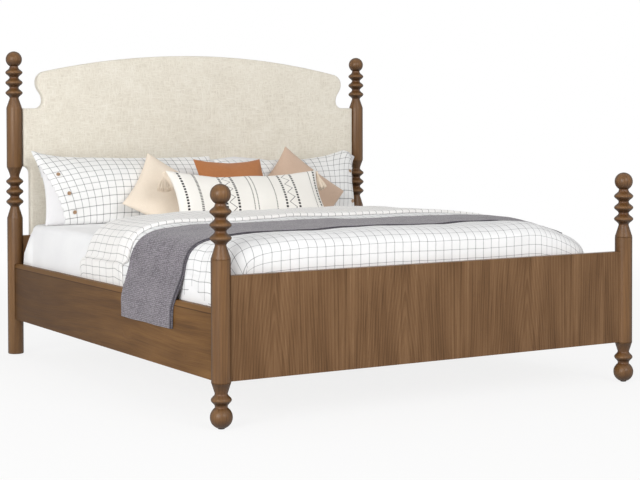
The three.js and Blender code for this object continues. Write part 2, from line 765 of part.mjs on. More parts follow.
// The height of the duvet's top, where the share runs from 0 at the middle to 1 at its side. Its turned-back
// part is thicker, and what lies over its edge rises to it over a longer way.
function duvetTop(share, y, rise = duvet.turnbackEdge) {
  const ends = endShares(y);
  const hem = railTop - duvet.tuck;
  const liftEnd = duvetHead - duvet.turnback + duvet.turnbackEdge;
  const lift = duvet.turnbackLift * THREE.MathUtils.smoothstep(y, liftEnd - rise, liftEnd);
  const full = sheetTop + duvet.loft + lift - duvet.footDrop * ends.foot - duvet.headDrop * ends.head;
  const side = (1 - Math.min(1, Math.abs(share)) ** duvet.squareness) ** (1 / duvet.squareness);
  const phase = (2 * Math.PI * y) / duvet.foldPitch;
  const rumple = duvet.rumple * Math.sin(phase + 3 * share) * Math.cos(2 * phase / 3 - 5 * share);
  return hem + (full - hem + rumple) * side;
}

function duvetRing(y, growth) {
  const half = duvetHalfWidth(y);
  const phase = (2 * Math.PI * y) / duvet.foldPitch;
  const edgeFold = duvet.foldDepth * (0.5 - 0.5 * Math.cos(phase));
  const place = (share, sign) => {
    const inwards = edgeFold * THREE.MathUtils.smoothstep(share, duvetSideShare, 1);
    const x = sign * (share * half - inwards + growth);
    const z = duvetTop(sign * share, y);
    return new THREE.Vector3(share === 0 ? 0 : x, y, share === 1 ? z - growth : z + growth);
  };
  const right = duvetAcrossShares.map((share) => place(share, 1));
  const left = duvetAcrossShares.slice(0, -1).reverse().map((share) => place(share, -1));
  return [...right, ...left];
}

// How far the duvet's side has slipped towards the head, more the lower it hangs and the nearer the head it is.
function duvetSlant(y, z) {
  const along = (y - duvetFoot) / (duvetHead - duvetFoot);
  return duvet.slant * along * THREE.MathUtils.clamp((sheetTop - z) / (sheetTop - railTop), 0, 1);
}

function duvetForm(growth) {
  const rings = duvetStations().map((y, i, all) => {
    const ring = duvetRing(y, growth);
    const shift = i === 0 ? -growth : i === all.length - 1 ? growth : 0;
    return ring.map((point) => point.setY(point.y + shift + duvetSlant(y, point.z)));
  });
  const flat = rings[Math.floor(rings.length / 2)].map((point) => new THREE.Vector2(point.x, point.z));
  return skin(rings, endOf(flat));
}

function addDuvet() {
  const clearOfSheet = mattressForm(2 * seatGap + fittedSheet.thickness, baseHeight - overrun);
  addPiece('duvet', cut(duvetForm(0), clearOfSheet), checkCotton);
}

// A point of the folded blanket's middle surface, square out from the duvet's top at a share of its width.
function overDuvet(share, y) {
  const place = (at) => new THREE.Vector2(at * duvetHalfWidth(y), duvetTop(at, y, blanket.rise));
  const along = place(share + blanketProbeShare).sub(place(share - blanketProbeShare)).normalize();
  const outward = new THREE.Vector2(-along.y, along.x);
  return place(share).addScaledVector(outward, blanket.thickness / 2 - seatGap);
}

// The folded blanket's middle surface: up the outside of the left rail, over the shoulder and across.
function blanketPath(y) {
  const hang = -(railOuter + seatGap + blanket.thickness / 2);
  const bottom = railTop - blanket.drop;
  const bevelFoot = railTop - railBevelHeight;
  const path = [
    new THREE.Vector2(hang, bottom),
    new THREE.Vector2(hang, (bottom + bevelFoot) / 2),
    new THREE.Vector2(hang, bevelFoot),
    new THREE.Vector2(-postX - blanket.thickness, railTop + 2 * blanket.thickness),
  ];
  for (const share of blanketAcrossShares) {
    path.push(overDuvet(share, y));
  }
  return path;
}

// The middle of the blanket's width, at a share of the way from its hem on the left to its far end. The part
// that hangs has slipped towards the head.
function blanketMiddle(share) {
  const left = mattressFoot + blanket.leftShare * mattressLength;
  const right = mattressFoot + blanket.rightShare * mattressLength;
  const slip = blanket.slant * THREE.MathUtils.smoothstep(share, 0, blanketHangShare);
  return left + (right - left) * THREE.MathUtils.smoothstep(share, 0, 1) - slip;
}

function blanketForm() {
  const steps = blanketPath(0).length;
  const middles = [];
  for (let k = 0; k < steps; k += 1) {
    middles.push(blanketMiddle(k / (steps - 1)) - blanket.width / 2);
  }
  const columns = [];
  for (let j = 0; j <= blanketColumns; j += 1) {
    const column = [];
    for (let k = 0; k < steps; k += 1) {
      const y = middles[k] + (blanket.width * j) / blanketColumns;
      const path = blanketPath(y);
      const before = path[Math.max(0, k - 1)];
      const after = path[Math.min(steps - 1, k + 1)];
      const along = after.clone().sub(before).normalize();
      const fall = THREE.MathUtils.clamp(1 - k / 3, 0, 1);
      const ripple = blanket.wave * fall * (1 - Math.cos((4 * Math.PI * j) / blanketColumns)) / 2;
      const point = new THREE.Vector3(path[k].x - ripple, y, path[k].y);
      column.push({ point, normal: [-along.y, along.x] });
    }
    columns.push(column);
  }
  const rings = [];
  for (let k = 0; k < steps; k += 1) {
    const offset = (side) => ({ [k]: { point, normal } }) => {
      const out = (side * blanket.thickness) / 2;
      return new THREE.Vector3(point.x + out * normal[0], point.y, point.z + out * normal[1]);
    };
    rings.push([...columns.map(offset(1)), ...columns.map(offset(-1)).reverse()]);
  }
  return skin(rings, endOfStrip(blanketColumns));
}

function addBlanket() {
  const rail = railBlank(-1).translate(-postX, 0, 0);
  const clearOfRail = rail.clone().scale(1 + seatGap / railOuter, 1, 1 + seatGap / railTop);
  addPiece('folded_throw', cut(blanketForm(), duvetForm(seatGap), clearOfRail), knit);
}

// A stuffed form that is thickest in the middle, thin at its seam, with sides drawn in between the corners.
function cushionForm({ width, height, thickness, rows, columns }, growth = 0) {
  const points = [];
  const index = [];
  const atSeam = (i, j) => i === 0 || j === 0 || i === columns || j === rows;
  const ids = new Map();
  const idOf = (i, j, face) => {
    const key = atSeam(i, j) ? `${i},${j}` : `${i},${j},${face}`;
    if (!ids.has(key)) {
      const s = Math.sin(((i / columns) * 2 - 1) * (Math.PI / 2));
      const t = Math.sin(((j / rows) * 2 - 1) * (Math.PI / 2));
      const x = (width / 2 + growth) * s * (1 - cushionPull * (1 - t * t) * s * s);
      const z = (height / 2 + growth) * t * (1 - cushionPull * (1 - s * s) * t * t);
      const swell = atSeam(i, j) ? 0 : ((1 - s * s) * (1 - t * t)) ** cushionFullness;
      ids.set(key, points.length);
      points.push(new THREE.Vector3(x, face * swell * (thickness / 2 + growth), z));
    }
    return ids.get(key);
  };
  for (const face of [-1, 1]) {
    for (let i = 0; i < columns; i += 1) {
      for (let j = 0; j < rows; j += 1) {
        const [a, b] = [idOf(i, j, face), idOf(i + 1, j, face)];
        const [c, d] = [idOf(i + 1, j + 1, face), idOf(i, j + 1, face)];
        index.push(...(face < 0 ? [a, b, c, a, c, d] : [a, c, b, a, d, c]));
      }
    }
  }
  const geometry = new THREE.BufferGeometry().setFromPoints(points);
  geometry.setIndex(index);
  return facingOut(geometry);
}

// Stands a stuffed form on the sheet, leaning back, in a layer this far in front of the shams' middle.
function standCushion(form, { width, height, tuck, turn = 0, x }, layer) {
  const reach = (width / 2) * Math.abs(Math.sin(turn)) + (height / 2) * Math.cos(turn) - tuck;
  const shamFoot = headboardFace - sham.topRoom - sham.height * Math.sin(lean);
  const foot = shamFoot - layer / Math.cos(lean);
  form.rotateY(-turn).rotateX(-lean);
  return form.translate(x, foot + reach * Math.sin(lean), sheetTop + reach * Math.cos(lean));
}

// Presses a stuffed form flat where it meets the sheet and the headboard.
function pressFlat(form, ...others) {
  const span = mattressWidth + mattressLength;
  const bedding = block([-span, span], [-span, span], [0, sheetTop + seatGap]);
  const board = block([-span, span], [headboardFace - headboard.crown - seatGap, span], [0, span]);
  return cut(form, bedding, board, ...others);
}

function addPillows() {
  const halfSpan = (sham.width + sham.between) / 2;
  const shamAt = (sign, growth) => {
    const size = { ...sham, x: sign * halfSpan };
    return standCushion(cushionForm(sham, growth), size, 0);
  };
  addPiece('sham_left', pressFlat(shamAt(-1, 0)), checkCotton);
  addPiece('sham_right', pressFlat(shamAt(1, 0)), checkCotton);
  const back = headboardFace - headboard.crown - seatGap;
  const sleeperForm = cushionForm(sleeper).rotateX(-sleeperLean);
  const rise = (sleeper.height / 2 - sleeper.tuck) * Math.cos(sleeperLean);
  sleeperForm.translate(sleeper.x, back - sleeper.thickness / 2 / Math.cos(sleeperLean), sheetTop + rise);
  addPiece('sleeping_pillow', pressFlat(sleeperForm, shamAt(-1, seatGap), shamAt(1, seatGap)), whiteCotton);
  const cornerLayer = (sham.thickness + corner.thickness) / 2 + seatGap;
  const rustLayer = cornerLayer + (corner.thickness + rust.thickness) / 2 + seatGap;
  const lumbarLayer = rustLayer + (rust.thickness + lumbar.thickness) / 2 + seatGap;
  const square = { ...corner, width: corner.side, height: corner.side, columns: corner.rows };
  const quarter = Math.PI / 4;
  for (const [name, place, linen] of [['beige', beige, beigeLinen], ['taupe', taupe, taupeLinen]]) {
    const size = { ...square, turn: place.turn + quarter, x: place.x };
    addPiece(`cushion_${name}`, pressFlat(standCushion(cushionForm(square), size, cornerLayer)), linen);
  }
  addPiece('cushion_rust', pressFlat(standCushion(cushionForm(rust), rust, rustLayer)), rustLinen);
  addPiece('cushion_lumbar', pressFlat(standCushion(cushionForm(lumbar), lumbar, lumbarLayer)), creamCotton);
}

addPosts();
addPanels();
addRails();
addFittings();
addSlats();
addBeamAndLegs();
addHeadboard();
addMattressAndSheet();
addDuvet();
addBlanket();
addPillows();

export default bed;
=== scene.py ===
# A made-up king bed, in metres: X across, +Y towards the head, +Z up. The sections follow the bed as it goes
# together: posts, panels and rails, slatted base, padded headboard, mattress, bedding, then the cushions.
import math
from functools import reduce

import bpy
import numpy as np
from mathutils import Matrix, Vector, noise


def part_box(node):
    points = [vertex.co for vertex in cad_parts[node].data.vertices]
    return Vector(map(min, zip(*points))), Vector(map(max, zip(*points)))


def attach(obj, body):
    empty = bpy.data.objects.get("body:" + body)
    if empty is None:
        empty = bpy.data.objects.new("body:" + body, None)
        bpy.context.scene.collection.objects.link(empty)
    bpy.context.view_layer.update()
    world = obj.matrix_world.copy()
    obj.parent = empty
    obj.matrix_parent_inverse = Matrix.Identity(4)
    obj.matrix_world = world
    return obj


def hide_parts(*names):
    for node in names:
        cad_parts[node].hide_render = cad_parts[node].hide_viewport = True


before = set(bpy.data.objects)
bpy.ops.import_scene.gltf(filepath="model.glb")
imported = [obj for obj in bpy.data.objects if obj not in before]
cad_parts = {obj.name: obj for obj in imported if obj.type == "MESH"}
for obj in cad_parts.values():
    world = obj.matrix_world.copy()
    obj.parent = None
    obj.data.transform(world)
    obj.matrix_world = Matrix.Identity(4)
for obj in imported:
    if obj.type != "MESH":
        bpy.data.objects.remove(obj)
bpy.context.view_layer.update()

# The four posts
# Each is a length of hardwood turned to cylinders, hollow necks and rows of beads under a ball finial, then
# stained brown and varnished. Slots cut in it take the ends of the panels and of the side rail.
pad_low, pad_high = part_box("floor_pad_foot_right")
post_x = (pad_low.x + pad_high.x) / 2
foot_line = (pad_low.y + pad_high.y) / 2
head_line = sum(corner.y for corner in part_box("floor_pad_head_right")) / 2
seat_gap = 0.0003
shaft_radius = 0.038
bead_radius = 0.042
neck_radius = 0.022
bead_pitch = 0.05
neck_rise = 0.003
finial_neck_radius = 0.02
finial_neck_rise = 0.006
foot_ease = 0.002
head_post = dict(shaft_top=0.676, cone=0.052, flare=0.0465, upper_shaft=0.292, upper_cone=0.046,
                 finial=0.0395)
foot_post = dict(ball=0.0433, flat=0.014, neck=0.0245, neck_rise=0.006, bead_pitch=0.048, bead=0.04,
                 cone=0.038, cone_radius=0.0365, shaft=0.468, upper_cone=0.05, finial=0.0395)
groove_width = 0.003
groove_depth = 0.0015
post_facets = 72
edge_ease = 0.0014
# Reach and depth of the measure of proud ridges and hollows, from which wear and painted highlight, and
# stain and painted shade, are painted on the posts.
wear_shade_reach = 0.012
wear_shade_depth = 0.008
beads_in_row = 3
flare_hollow = 1.25
straight_enough = -0.97
sharp_turn = math.radians(40)


class Turning:
    """A turned outline, built upwards as points of radius and height."""

    def __init__(self, height, radius):
        self.points = [(0.0, height), (radius, height)]

    @property
    def end(self):
        return self.points[-1]

    def line(self, rise, radius=None):
        self.points.append((self.end[0] if radius is None else radius, self.end[1] + rise))
        return self

    def groove(self):
        shaft = self.end[0]
        return self.line(groove_width / 2, shaft - groove_depth).line(groove_width / 2, shaft)

    def bead(self, pitch, peak, steps=16):
        neck, start = self.end
        for share in np.linspace(0, 1, steps + 1)[1:]:
            swell = (1 - math.cos(2 * math.pi * share)) / 2
            self.points.append((neck + (peak - neck) * swell, start + pitch * share))
        return self

    def flare(self, rise, radius, steps=8):
        neck, start = self.end
        for share in np.linspace(0, 1, steps + 1)[1:]:
            self.points.append((neck + (radius - neck) * share ** flare_hollow, start + rise * share))
        return self

    def ball(self, radius, end_radius=0.0, steps=26):
        neck, start = self.end
        first, last = -math.acos(neck / radius), math.acos(end_radius / radius)
        middle = start - radius * math.sin(first)
        for angle in np.linspace(first, last, steps + 1)[1:]:
            self.points.append((radius * math.cos(angle), middle + radius * math.sin(angle)))
        self.points[-1] = (end_radius, self.end[1])
        return self


def eased(points, ease):
    """The outline with each sharp outer corner cut back by the ease."""
    made = [points[0]]
    for before, corner, after in zip(points, points[1:], points[2:]):
        back, ahead = np.subtract(before, corner), np.subtract(after, corner)
        room = min(np.hypot(*back), np.hypot(*ahead))
        turn = np.dot(back, ahead) / (np.hypot(*back) * np.hypot(*ahead))
        if turn > straight_enough and room > 2 * ease:
            made += [tuple(corner + side * ease / np.hypot(*side)) for side in (back, ahead)]
        else:
            made.append(corner)
    return made + [points[-1]]


def beads(turning, cone):
    turning.line(cone, neck_radius).line(neck_rise)
    for _ in range(beads_in_row):
        turning.bead(bead_pitch, bead_radius)
    return turning


def head_post_outline():
    turning = Turning(pad_high.z + seat_gap, shaft_radius - foot_ease).line(foot_ease, shaft_radius)
    turning.line(head_post["shaft_top"] - turning.end[1])
    beads(turning, head_post["cone"]).flare(head_post["flare"], shaft_radius).line(head_post["upper_shaft"])
    beads(turning, head_post["upper_cone"]).line(finial_neck_rise, finial_neck_radius)
    return eased(turning.ball(head_post["finial"]).points, edge_ease)


def foot_post_outline():
    size = foot_post
    turning = Turning(pad_high.z + seat_gap, size["flat"]).ball(size["ball"], size["neck"])
    turning.line(size["neck_rise"]).bead(size["bead_pitch"], size["bead"])
    turning.line(size["cone"], size["cone_radius"]).line(groove_width / 2, shaft_radius).groove()
    turning.line(size["shaft"] - 2 * groove_width).groove()
    beads(turning, size["upper_cone"]).line(finial_neck_rise, finial_neck_radius)
    return eased(turning.ball(size["finial"]).points, edge_ease)


def lathe(outline, facets):
    """The points and faces of an outline turned round the Z axis."""
    points, faces, rings = [], [], []
    for radius, height in outline:
        count = facets if radius > 0 else 1
        rings.append(range(len(points), len(points) + count))
        for i in range(count):
            angle = 2 * math.pi * i / facets
            points.append((radius * math.cos(angle), radius * math.sin(angle), height))
    for low, high in zip(rings, rings[1:]):
        for i in range(facets):
            j = (i + 1) % facets
            corners = [low[i % len(low)], low[j % len(low)], high[j % len(high)], high[i % len(high)]]
            faces.append(list(dict.fromkeys(corners)))
    return points, [face for face in faces if len(face) > 2]


def place_at(points, x, y):
    return np.asarray(points, float) + (x, y, 0.0)


def make_piece(name, points, faces, finish, body="bed_frame", sharp=sharp_turn, uvs=None):
    """A piece of the bed as a smooth-shaded mesh that keeps its sharp edges, riding on its body."""
    mesh = bpy.data.meshes.new(name)
    mesh.from_pydata([tuple(p) for p in points], [], [tuple(int(i) for i in face) for face in faces])
    if uvs is not None:
        layer = mesh.uv_layers.new(name="Cloth")
        index = np.zeros(len(mesh.loops), np.int32)
        mesh.loops.foreach_get("vertex_index", index)
        layer.data.foreach_set("uv", np.asarray(uvs, np.float32)[index].ravel())
    mesh.shade_smooth()
    mesh.set_sharp_from_angle(angle=sharp)
    piece = bpy.data.objects.new(name, mesh)
    bpy.context.scene.collection.objects.link(piece)
    mesh.materials.append(finish)
    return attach(piece, body)


def box_corners(low, high):
    points = [(x, y, z) for x in (low[0], high[0]) for y in (low[1], high[1]) for z in (low[2], high[2])]
    faces = [(0, 1, 3, 2), (4, 6, 7, 5), (0, 4, 5, 1), (2, 3, 7, 6), (0, 2, 6, 4), (1, 5, 7, 3)]
    return points, faces


def carve(piece, boxes):
    """Cuts boxes out of a piece for good."""
    points, faces = [], []
    for low, high in boxes:
        corners, sides = box_corners(low, high)
        faces += [tuple(i + len(points) for i in side) for side in sides]
        points += corners
    mesh = bpy.data.meshes.new("cutter")
    mesh.from_pydata(points, [], faces)
    cutter = bpy.data.objects.new("cutter", mesh)
    bpy.context.scene.collection.objects.link(cutter)
    modifier = piece.modifiers.new("Slots", "BOOLEAN")
    modifier.operation, modifier.solver, modifier.object = "DIFFERENCE", "EXACT", cutter
    settle(piece)
    bpy.data.objects.remove(cutter)


def settle(piece):
    """Makes what a piece's modifiers do part of its mesh."""
    bpy.context.view_layer.update()
    evaluated = piece.evaluated_get(bpy.context.evaluated_depsgraph_get())
    settled = bpy.data.meshes.new_from_object(evaluated)
    piece.modifiers.clear()
    piece.data = settled
    settled.name = piece.name


def grown_box(node, gap):
    low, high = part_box(node)
    return low - Vector((gap,) * 3), high + Vector((gap,) * 3)


def srgb(red, green, blue):
    """A colour of 0 to 255 as the light that Blender reckons with."""
    light = [((c / 255 + 0.055) / 1.055) ** 2.4 if c > 10 else c / 255 / 12.92 for c in (red, green, blue)]
    return (*light, 1.0)


class Finish:
    """A material whose colour, gloss and relief come from procedural nodes."""

    def __init__(self, name, roughness, **settings):
        self.material = bpy.data.materials.new(name)
        self.material.use_nodes = True
        self.tree = self.material.node_tree
        self.shader = self.tree.nodes["Principled BSDF"]
        for key, value in {"Roughness": roughness, **settings}.items():
            self.shader.inputs[key.replace("_", " ")].default_value = value

    @classmethod
    def of(cls, material):
        """Takes up a finished material again."""
        finish = cls.__new__(cls)
        finish.material, finish.tree = material, material.node_tree
        finish.shader = finish.tree.nodes["Principled BSDF"]
        return finish

    def feed(self, socket, value):
        if isinstance(value, bpy.types.NodeSocket):
            self.tree.links.new(value, socket)
        else:
            socket.default_value = value

    def add(self, kind, inputs, output=0, **settings):
        node = self.tree.nodes.new("ShaderNode" + kind)
        for key, value in settings.items():
            setattr(node, key, value)
        for key, value in inputs.items():
            self.feed(node.inputs[key], value)
        return node.outputs[output]

    def math(self, operation, *values):
        return self.add("Math", dict(enumerate(values)), operation=operation)

    def plus(self, *values):
        total = values[0]
        for value in values[1:]:
            total = self.math("ADD", total, value)
        return total

    def weigh(self, *pairs):
        """The sum of some values, each times its weight."""
        return self.plus(*(self.times(value, weight) for value, weight in pairs))

    def minus(self, first, second):
        return self.math("SUBTRACT", first, second)

    def times(self, first, second):
        return self.math("MULTIPLY", first, second)

    def here(self):
        return self.add("TexCoord", {}, "Object")

    def apart(self, vector):
        node = self.tree.nodes.new("ShaderNodeSeparateXYZ")
        self.feed(node.inputs[0], vector)
        return node.outputs

    def join(self, x, y, z):
        return self.add("CombineXYZ", {0: x, 1: y, 2: z})

    def cloth(self):
        return self.add("UVMap", {}, uv_map="Cloth")

    def noise(self, vector, scale, detail=2.0, rough=0.5):
        inputs = {"Vector": vector, "Scale": scale, "Detail": detail, "Roughness": rough}
        return self.add("TexNoise", inputs)

    def ease(self, value, low, high):
        """Rises smoothly from 0 at low to 1 at high."""
        inputs = {"Value": value, "From Min": low, "From Max": high}
        return self.add("MapRange", inputs, interpolation_type="SMOOTHSTEP")

    def mix(self, share, first, second, blend="MIX"):
        inputs = {0: share, 6: first, 7: second}
        return self.add("Mix", inputs, 2, data_type="RGBA", blend_type=blend)

    def tones(self, value, stops):
        """Runs through tones given as places and colours of 0 to 255."""
        node = self.tree.nodes.new("ShaderNodeValToRGB")
        self.feed(node.inputs[0], value)
        ramp = node.color_ramp
        while len(ramp.elements) < len(stops):
            ramp.elements.new(0.5)
        for element, (place, colour) in zip(ramp.elements, stops):
            element.position, element.color = place, srgb(*colour)
        return node.outputs[0]

    def done(self, colour, height=None, depth=0.001, roughness=None):
        """Feeds the shader its colour, its relief of this depth in metres and any gloss that varies."""
        self.feed(self.shader.inputs["Base Color"], colour)
        if height is not None:
            bump = self.add("Bump", {"Strength": 1.0, "Distance": depth, "Height": height})
            self.feed(self.shader.inputs["Normal"], bump)
        if roughness is not None:
            self.feed(self.shader.inputs["Roughness"], roughness)
        return self.material


walnut_tones = [(0.0, (73, 51, 31)), (0.35, (107, 78, 52)), (0.62, (127, 96, 67)), (1.0, (152, 120, 88))]


def number_noise(finish, value):
    return finish.add("TexWhiteNoise", {"W": value}, noise_dimensions="1D")


# Each layer of the grain is noise with a stretch along the board, a scale, a detail and a roughness.
grain_layers = dict(wander=(0.14, 7, 3, 0.5), fibres=(0.018, 330, 3, 0.6), streaks=(0.022, 62, 3, 0.65),
                    clouds=(0.25, 9, 2, 0.5), pores=(0.05, 800, 1, 0.5))
ring_wander = 0.055
late_start, late_end = (0.0, 0.75), (0.84, 1.0)
least_late = 0.25
late_weight, late_balance = -0.27, 0.14
fibre_weight, streak_weight, cloud_weight = 0.5, 1.0, 0.7
middle_tone = 0.42
pore_range, pore_share, pore_colour = (0.6, 0.75), 0.3, (64, 41, 24)
# Proud ridges are painted paler, as wear and painted highlight; hollows are painted darker, as stain and
# painted shade.
ridge_wear_and_highlight, hollow_shade_share, hollow_stain_and_shade_colour = 0.22, 0.6, (98, 56, 28)
# Painted shade on faces seen edge on and on faces turned down, in this colour.
rim_shade_facing, underside_shade_facing, shadow_colour = (0.25, 0.9), (0.15, -0.75), (44, 28, 16)
gloss_play = 0.12
pore_relief, late_relief, grain_relief = -0.8, -0.2, 0.00025


def wood(name, grain, tones, pitch=0.011, roughness=0.42, figure=1.0, gleam=0.14, shadow=0.0):
    """Sawn and sanded wood. The grain function gives the places across, into and along the board, and how
    much the growth rings taper along it. The varnish has this gleam. A shadow share paints shade on faces
    seen edge on and on faces turned down, and takes the gleam away at the rims."""
    finish = Finish(name, roughness, Specular_IOR_Level=gleam)
    across, depth, along, taper = grain(finish)
    layers = {}
    for kind, (stretch, scale, detail, rough) in grain_layers.items():
        stretched = finish.join(across, depth, finish.times(along, stretch))
        layers[kind] = finish.noise(stretched, scale, detail, rough)
    far = finish.math("SQRT", finish.weigh((across, across), (depth, depth)))
    rings = finish.plus(far, finish.times(along, taper), finish.times(layers["wander"], ring_wander))
    count = finish.times(rings, 1 / pitch)
    place = finish.math("FRACT", count)
    own = number_noise(finish, finish.math("FLOOR", count))
    late = finish.minus(finish.ease(place, *late_start), finish.ease(place, *late_end))
    late = finish.times(late, finish.plus(finish.times(own, 1 - least_late), least_late))
    weights = dict(fibres=fibre_weight, streaks=streak_weight * figure, clouds=cloud_weight)
    shade = finish.times(late, late_weight * figure)
    for kind, weight in weights.items():
        shade = finish.plus(shade, finish.times(layers[kind], weight))
    shade = finish.plus(shade, middle_tone - 0.5 * sum(weights.values()) + late_balance * figure)
    pore = finish.ease(layers["pores"], *pore_range)
    # Painted highlight and wear make proud ridges paler. Painted shade and stain make hollows darker.
    wear_and_shade = finish.add("Attribute", {}, "Fac", attribute_name="wear_and_shade")
    colour = finish.tones(finish.plus(shade, finish.times(wear_and_shade, ridge_wear_and_highlight)), tones)
    colour = finish.mix(finish.times(pore, pore_share), colour, srgb(*pore_colour))
    hollow = finish.times(finish.math("MAXIMUM", finish.times(wear_and_shade, -1.0), 0.0), hollow_shade_share)
    colour = finish.mix(hollow, colour, srgb(*hollow_stain_and_shade_colour))
    # Painted shade: darker where the wood is seen edge on and where it faces down, with less gleam at the
    # rims.
    if shadow:
        facing = finish.ease(finish.add("LayerWeight", {"Blend": 0.5}, "Facing"), *rim_shade_facing)
        upwards = finish.apart(finish.add("NewGeometry", {}, "Normal"))[2]
        painted_shade_share = finish.math("MAXIMUM", facing, finish.ease(upwards, *underside_shade_facing))
        colour = finish.mix(finish.times(painted_shade_share, shadow), colour, srgb(*shadow_colour))
        level = finish.times(finish.minus(1.0, facing), gleam)
        finish.feed(finish.shader.inputs["Specular IOR Level"], level)
    gloss = finish.plus(roughness - gloss_play / 2, finish.times(layers["streaks"], gloss_play))
    height = finish.plus(layers["fibres"], finish.weigh((pore, pore_relief), (late, late_relief)))
    return finish.done(colour, height, grain_relief, gloss)


heart_inside_x, heart_behind_y = 0.055, 0.03
trunk_taper = 0.006


def turned_grain(finish):
    x, y, z = finish.apart(finish.here())
    off_axis = finish.minus(finish.math("ABSOLUTE", x), post_x - heart_inside_x)
    middle = (foot_line + head_line) / 2
    along_bed = finish.math("ABSOLUTE", finish.minus(y, middle))
    return off_axis, finish.minus(along_bed, head_line - middle + heart_behind_y), z, trunk_taper


turned_tones = [(0.0, (66, 40, 19)), (0.35, (99, 68, 37)), (0.62, (120, 85, 49)), (1.0, (147, 110, 69))]
# The posts get painted shade at their rims and undersides.
turned_wood = wood("turned_wood", turned_grain, turned_tones, pitch=0.012, roughness=0.35, figure=0.5,
                   gleam=0.36, shadow=0.7)


def mark_wear_and_shade(piece, outline, x, y):
    """Marks how far each point stands out of the turning round it or sinks into it. From this, proud ridges
    are painted paler, as wear and painted highlight, and hollows darker, as stain and painted shade.
    """
    radii, heights = np.array(outline).T
    order = np.argsort(heights, kind="stable")
    count = len(piece.data.vertices)
    places = np.zeros(count * 3, np.float32)
    piece.data.vertices.foreach_get("co", places)
    places = places.reshape(-1, 3)
    own = np.hypot(places[:, 0] - x, places[:, 1] - y)
    near = [np.interp(places[:, 2] + step, heights[order], radii[order])
            for step in np.linspace(-wear_shade_reach, wear_shade_reach, 9)]
    wear_and_shade = np.clip((own - np.mean(near, axis=0)) / wear_shade_depth, -1, 1)
    piece.data.attributes.new("wear_and_shade", "FLOAT", "POINT").data.foreach_set("value", wear_and_shade.astype(np.float32))


def add_post(end, side, outline, line, panels):
    x = post_x if side == "right" else -post_x
    name = f"{end}_post_{side}"
    points, faces = lathe(outline, post_facets)
    piece = make_piece(f"turned_{name}", place_at(points, x, line), faces, turned_wood)
    short = "head" if end == "headboard" else "foot"
    slots = [*panels, f"side_rail_{side}", f"slot_plate_{short}_{side}", f"hook_plate_{short}_{side}"]
    carve(piece, [grown_box(node, seat_gap) for node in slots])
    piece.data.shade_smooth()
    piece.data.set_sharp_from_angle(angle=sharp_turn)
    mark_wear_and_shade(piece, outline, x, line)
    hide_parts(name)


for side in ("left", "right"):
    dowels = [f"headboard_dowel_{level}_{side}" for level in ("lower", "upper")]
    add_post("headboard", side, head_post_outline(), head_line, ["headboard_lower_panel", *dowels])
    add_post("footboard", side, foot_post_outline(), foot_line, ["footboard_panel"])

# Footboard and lower head panel
# Each is a veneered panel 33 mm thick, faced with book-matched leaves of flat-cut veneer standing upright.
# Its ends are let into slots in the posts and its long edges are barely rounded over.
leaf_width = 0.31
leaf_shift = 0.06
leaf_wander = 0.12
leaf_tapers = (-0.03, 0.11)
leaf_seed = 19.3
leaf_step, leaf_start = 0.31, 0.011
leaf_sway, leaf_from_heart = 0.004, 0.008
edge_softness = 0.0012


def leaf_grain(finish):
    x, _, z = finish.apart(finish.here())
    place = finish.math("DIVIDE", finish.plus(x, leaf_shift), leaf_width)
    leaf = finish.math("FLOOR", place)
    offset = finish.times(finish.minus(number_noise(finish, leaf), 0.5), leaf_wander)
    across = finish.plus(finish.times(finish.minus(finish.math("FRACT", place), 0.5), leaf_width), offset)
    low, high = leaf_tapers
    turn = number_noise(finish, finish.plus(leaf, leaf_seed))
    taper = finish.plus(finish.times(finish.ease(turn, 0.3, 0.5), high - low), low)
    depth = finish.plus(finish.times(leaf, leaf_step), leaf_start)
    narrow = finish.math("PINGPONG", depth, leaf_sway)
    return across, finish.plus(narrow, leaf_from_heart), z, taper


def soften(node, width=edge_softness):
    """Rounds the edges of a node that keeps its own mesh."""
    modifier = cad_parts[node].modifiers.new("Softened edges", "BEVEL")
    modifier.width, modifier.segments, modifier.limit_method = width, 2, "ANGLE"


def dress(nodes, finish, width=edge_softness):
    """Gives nodes that keep their own mesh a finish and softened edges."""
    for node in nodes:
        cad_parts[node].material_slots[0].material = finish
        soften(node, width)


veneer = wood("upright_veneer", leaf_grain, walnut_tones, pitch=0.013, roughness=0.4, figure=0.72)
dress(["footboard_panel", "headboard_lower_panel"], veneer)

# Side rails
# Each is a solid board with a bevelled top edge, stained like the posts, its grain running along the bed
# with a few small knots. Steel hooks let into its ends drop into the posts.
rail_low, rail_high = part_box("side_rail_left")
knots = [(-0.28, 0.262, 0.03), (0.71, 0.335, 0.02), (-0.83, 0.24, 0.022)]
knot_stretch, knot_swell = 0.6, 0.035
rail_wander, rail_heart_share, rail_taper = 0.16, 0.98, 0.012
# Painted light on the rails: shade deepening towards the head, a highlight on the bevel and a shadow line
# below it.
head_shade_range, head_shade_share, head_shade_colour = (-0.7, 0.9), 0.6, (64, 41, 20)
bevel_highlight_band, bevel_highlight_share, bevel_highlight_colour = (0.0195, 0.017), 0.36, (138, 102, 62)
shadow_line_drop, shadow_line_fade, shadow_line_share, shadow_line_colour = 0.0205, (0.003, 0.0005), 0.7, (52, 32, 16)
rail_tones = [(0.0, (66, 43, 20)), (0.35, (98, 67, 34)), (0.62, (121, 87, 49)), (1.0, (146, 109, 67))]


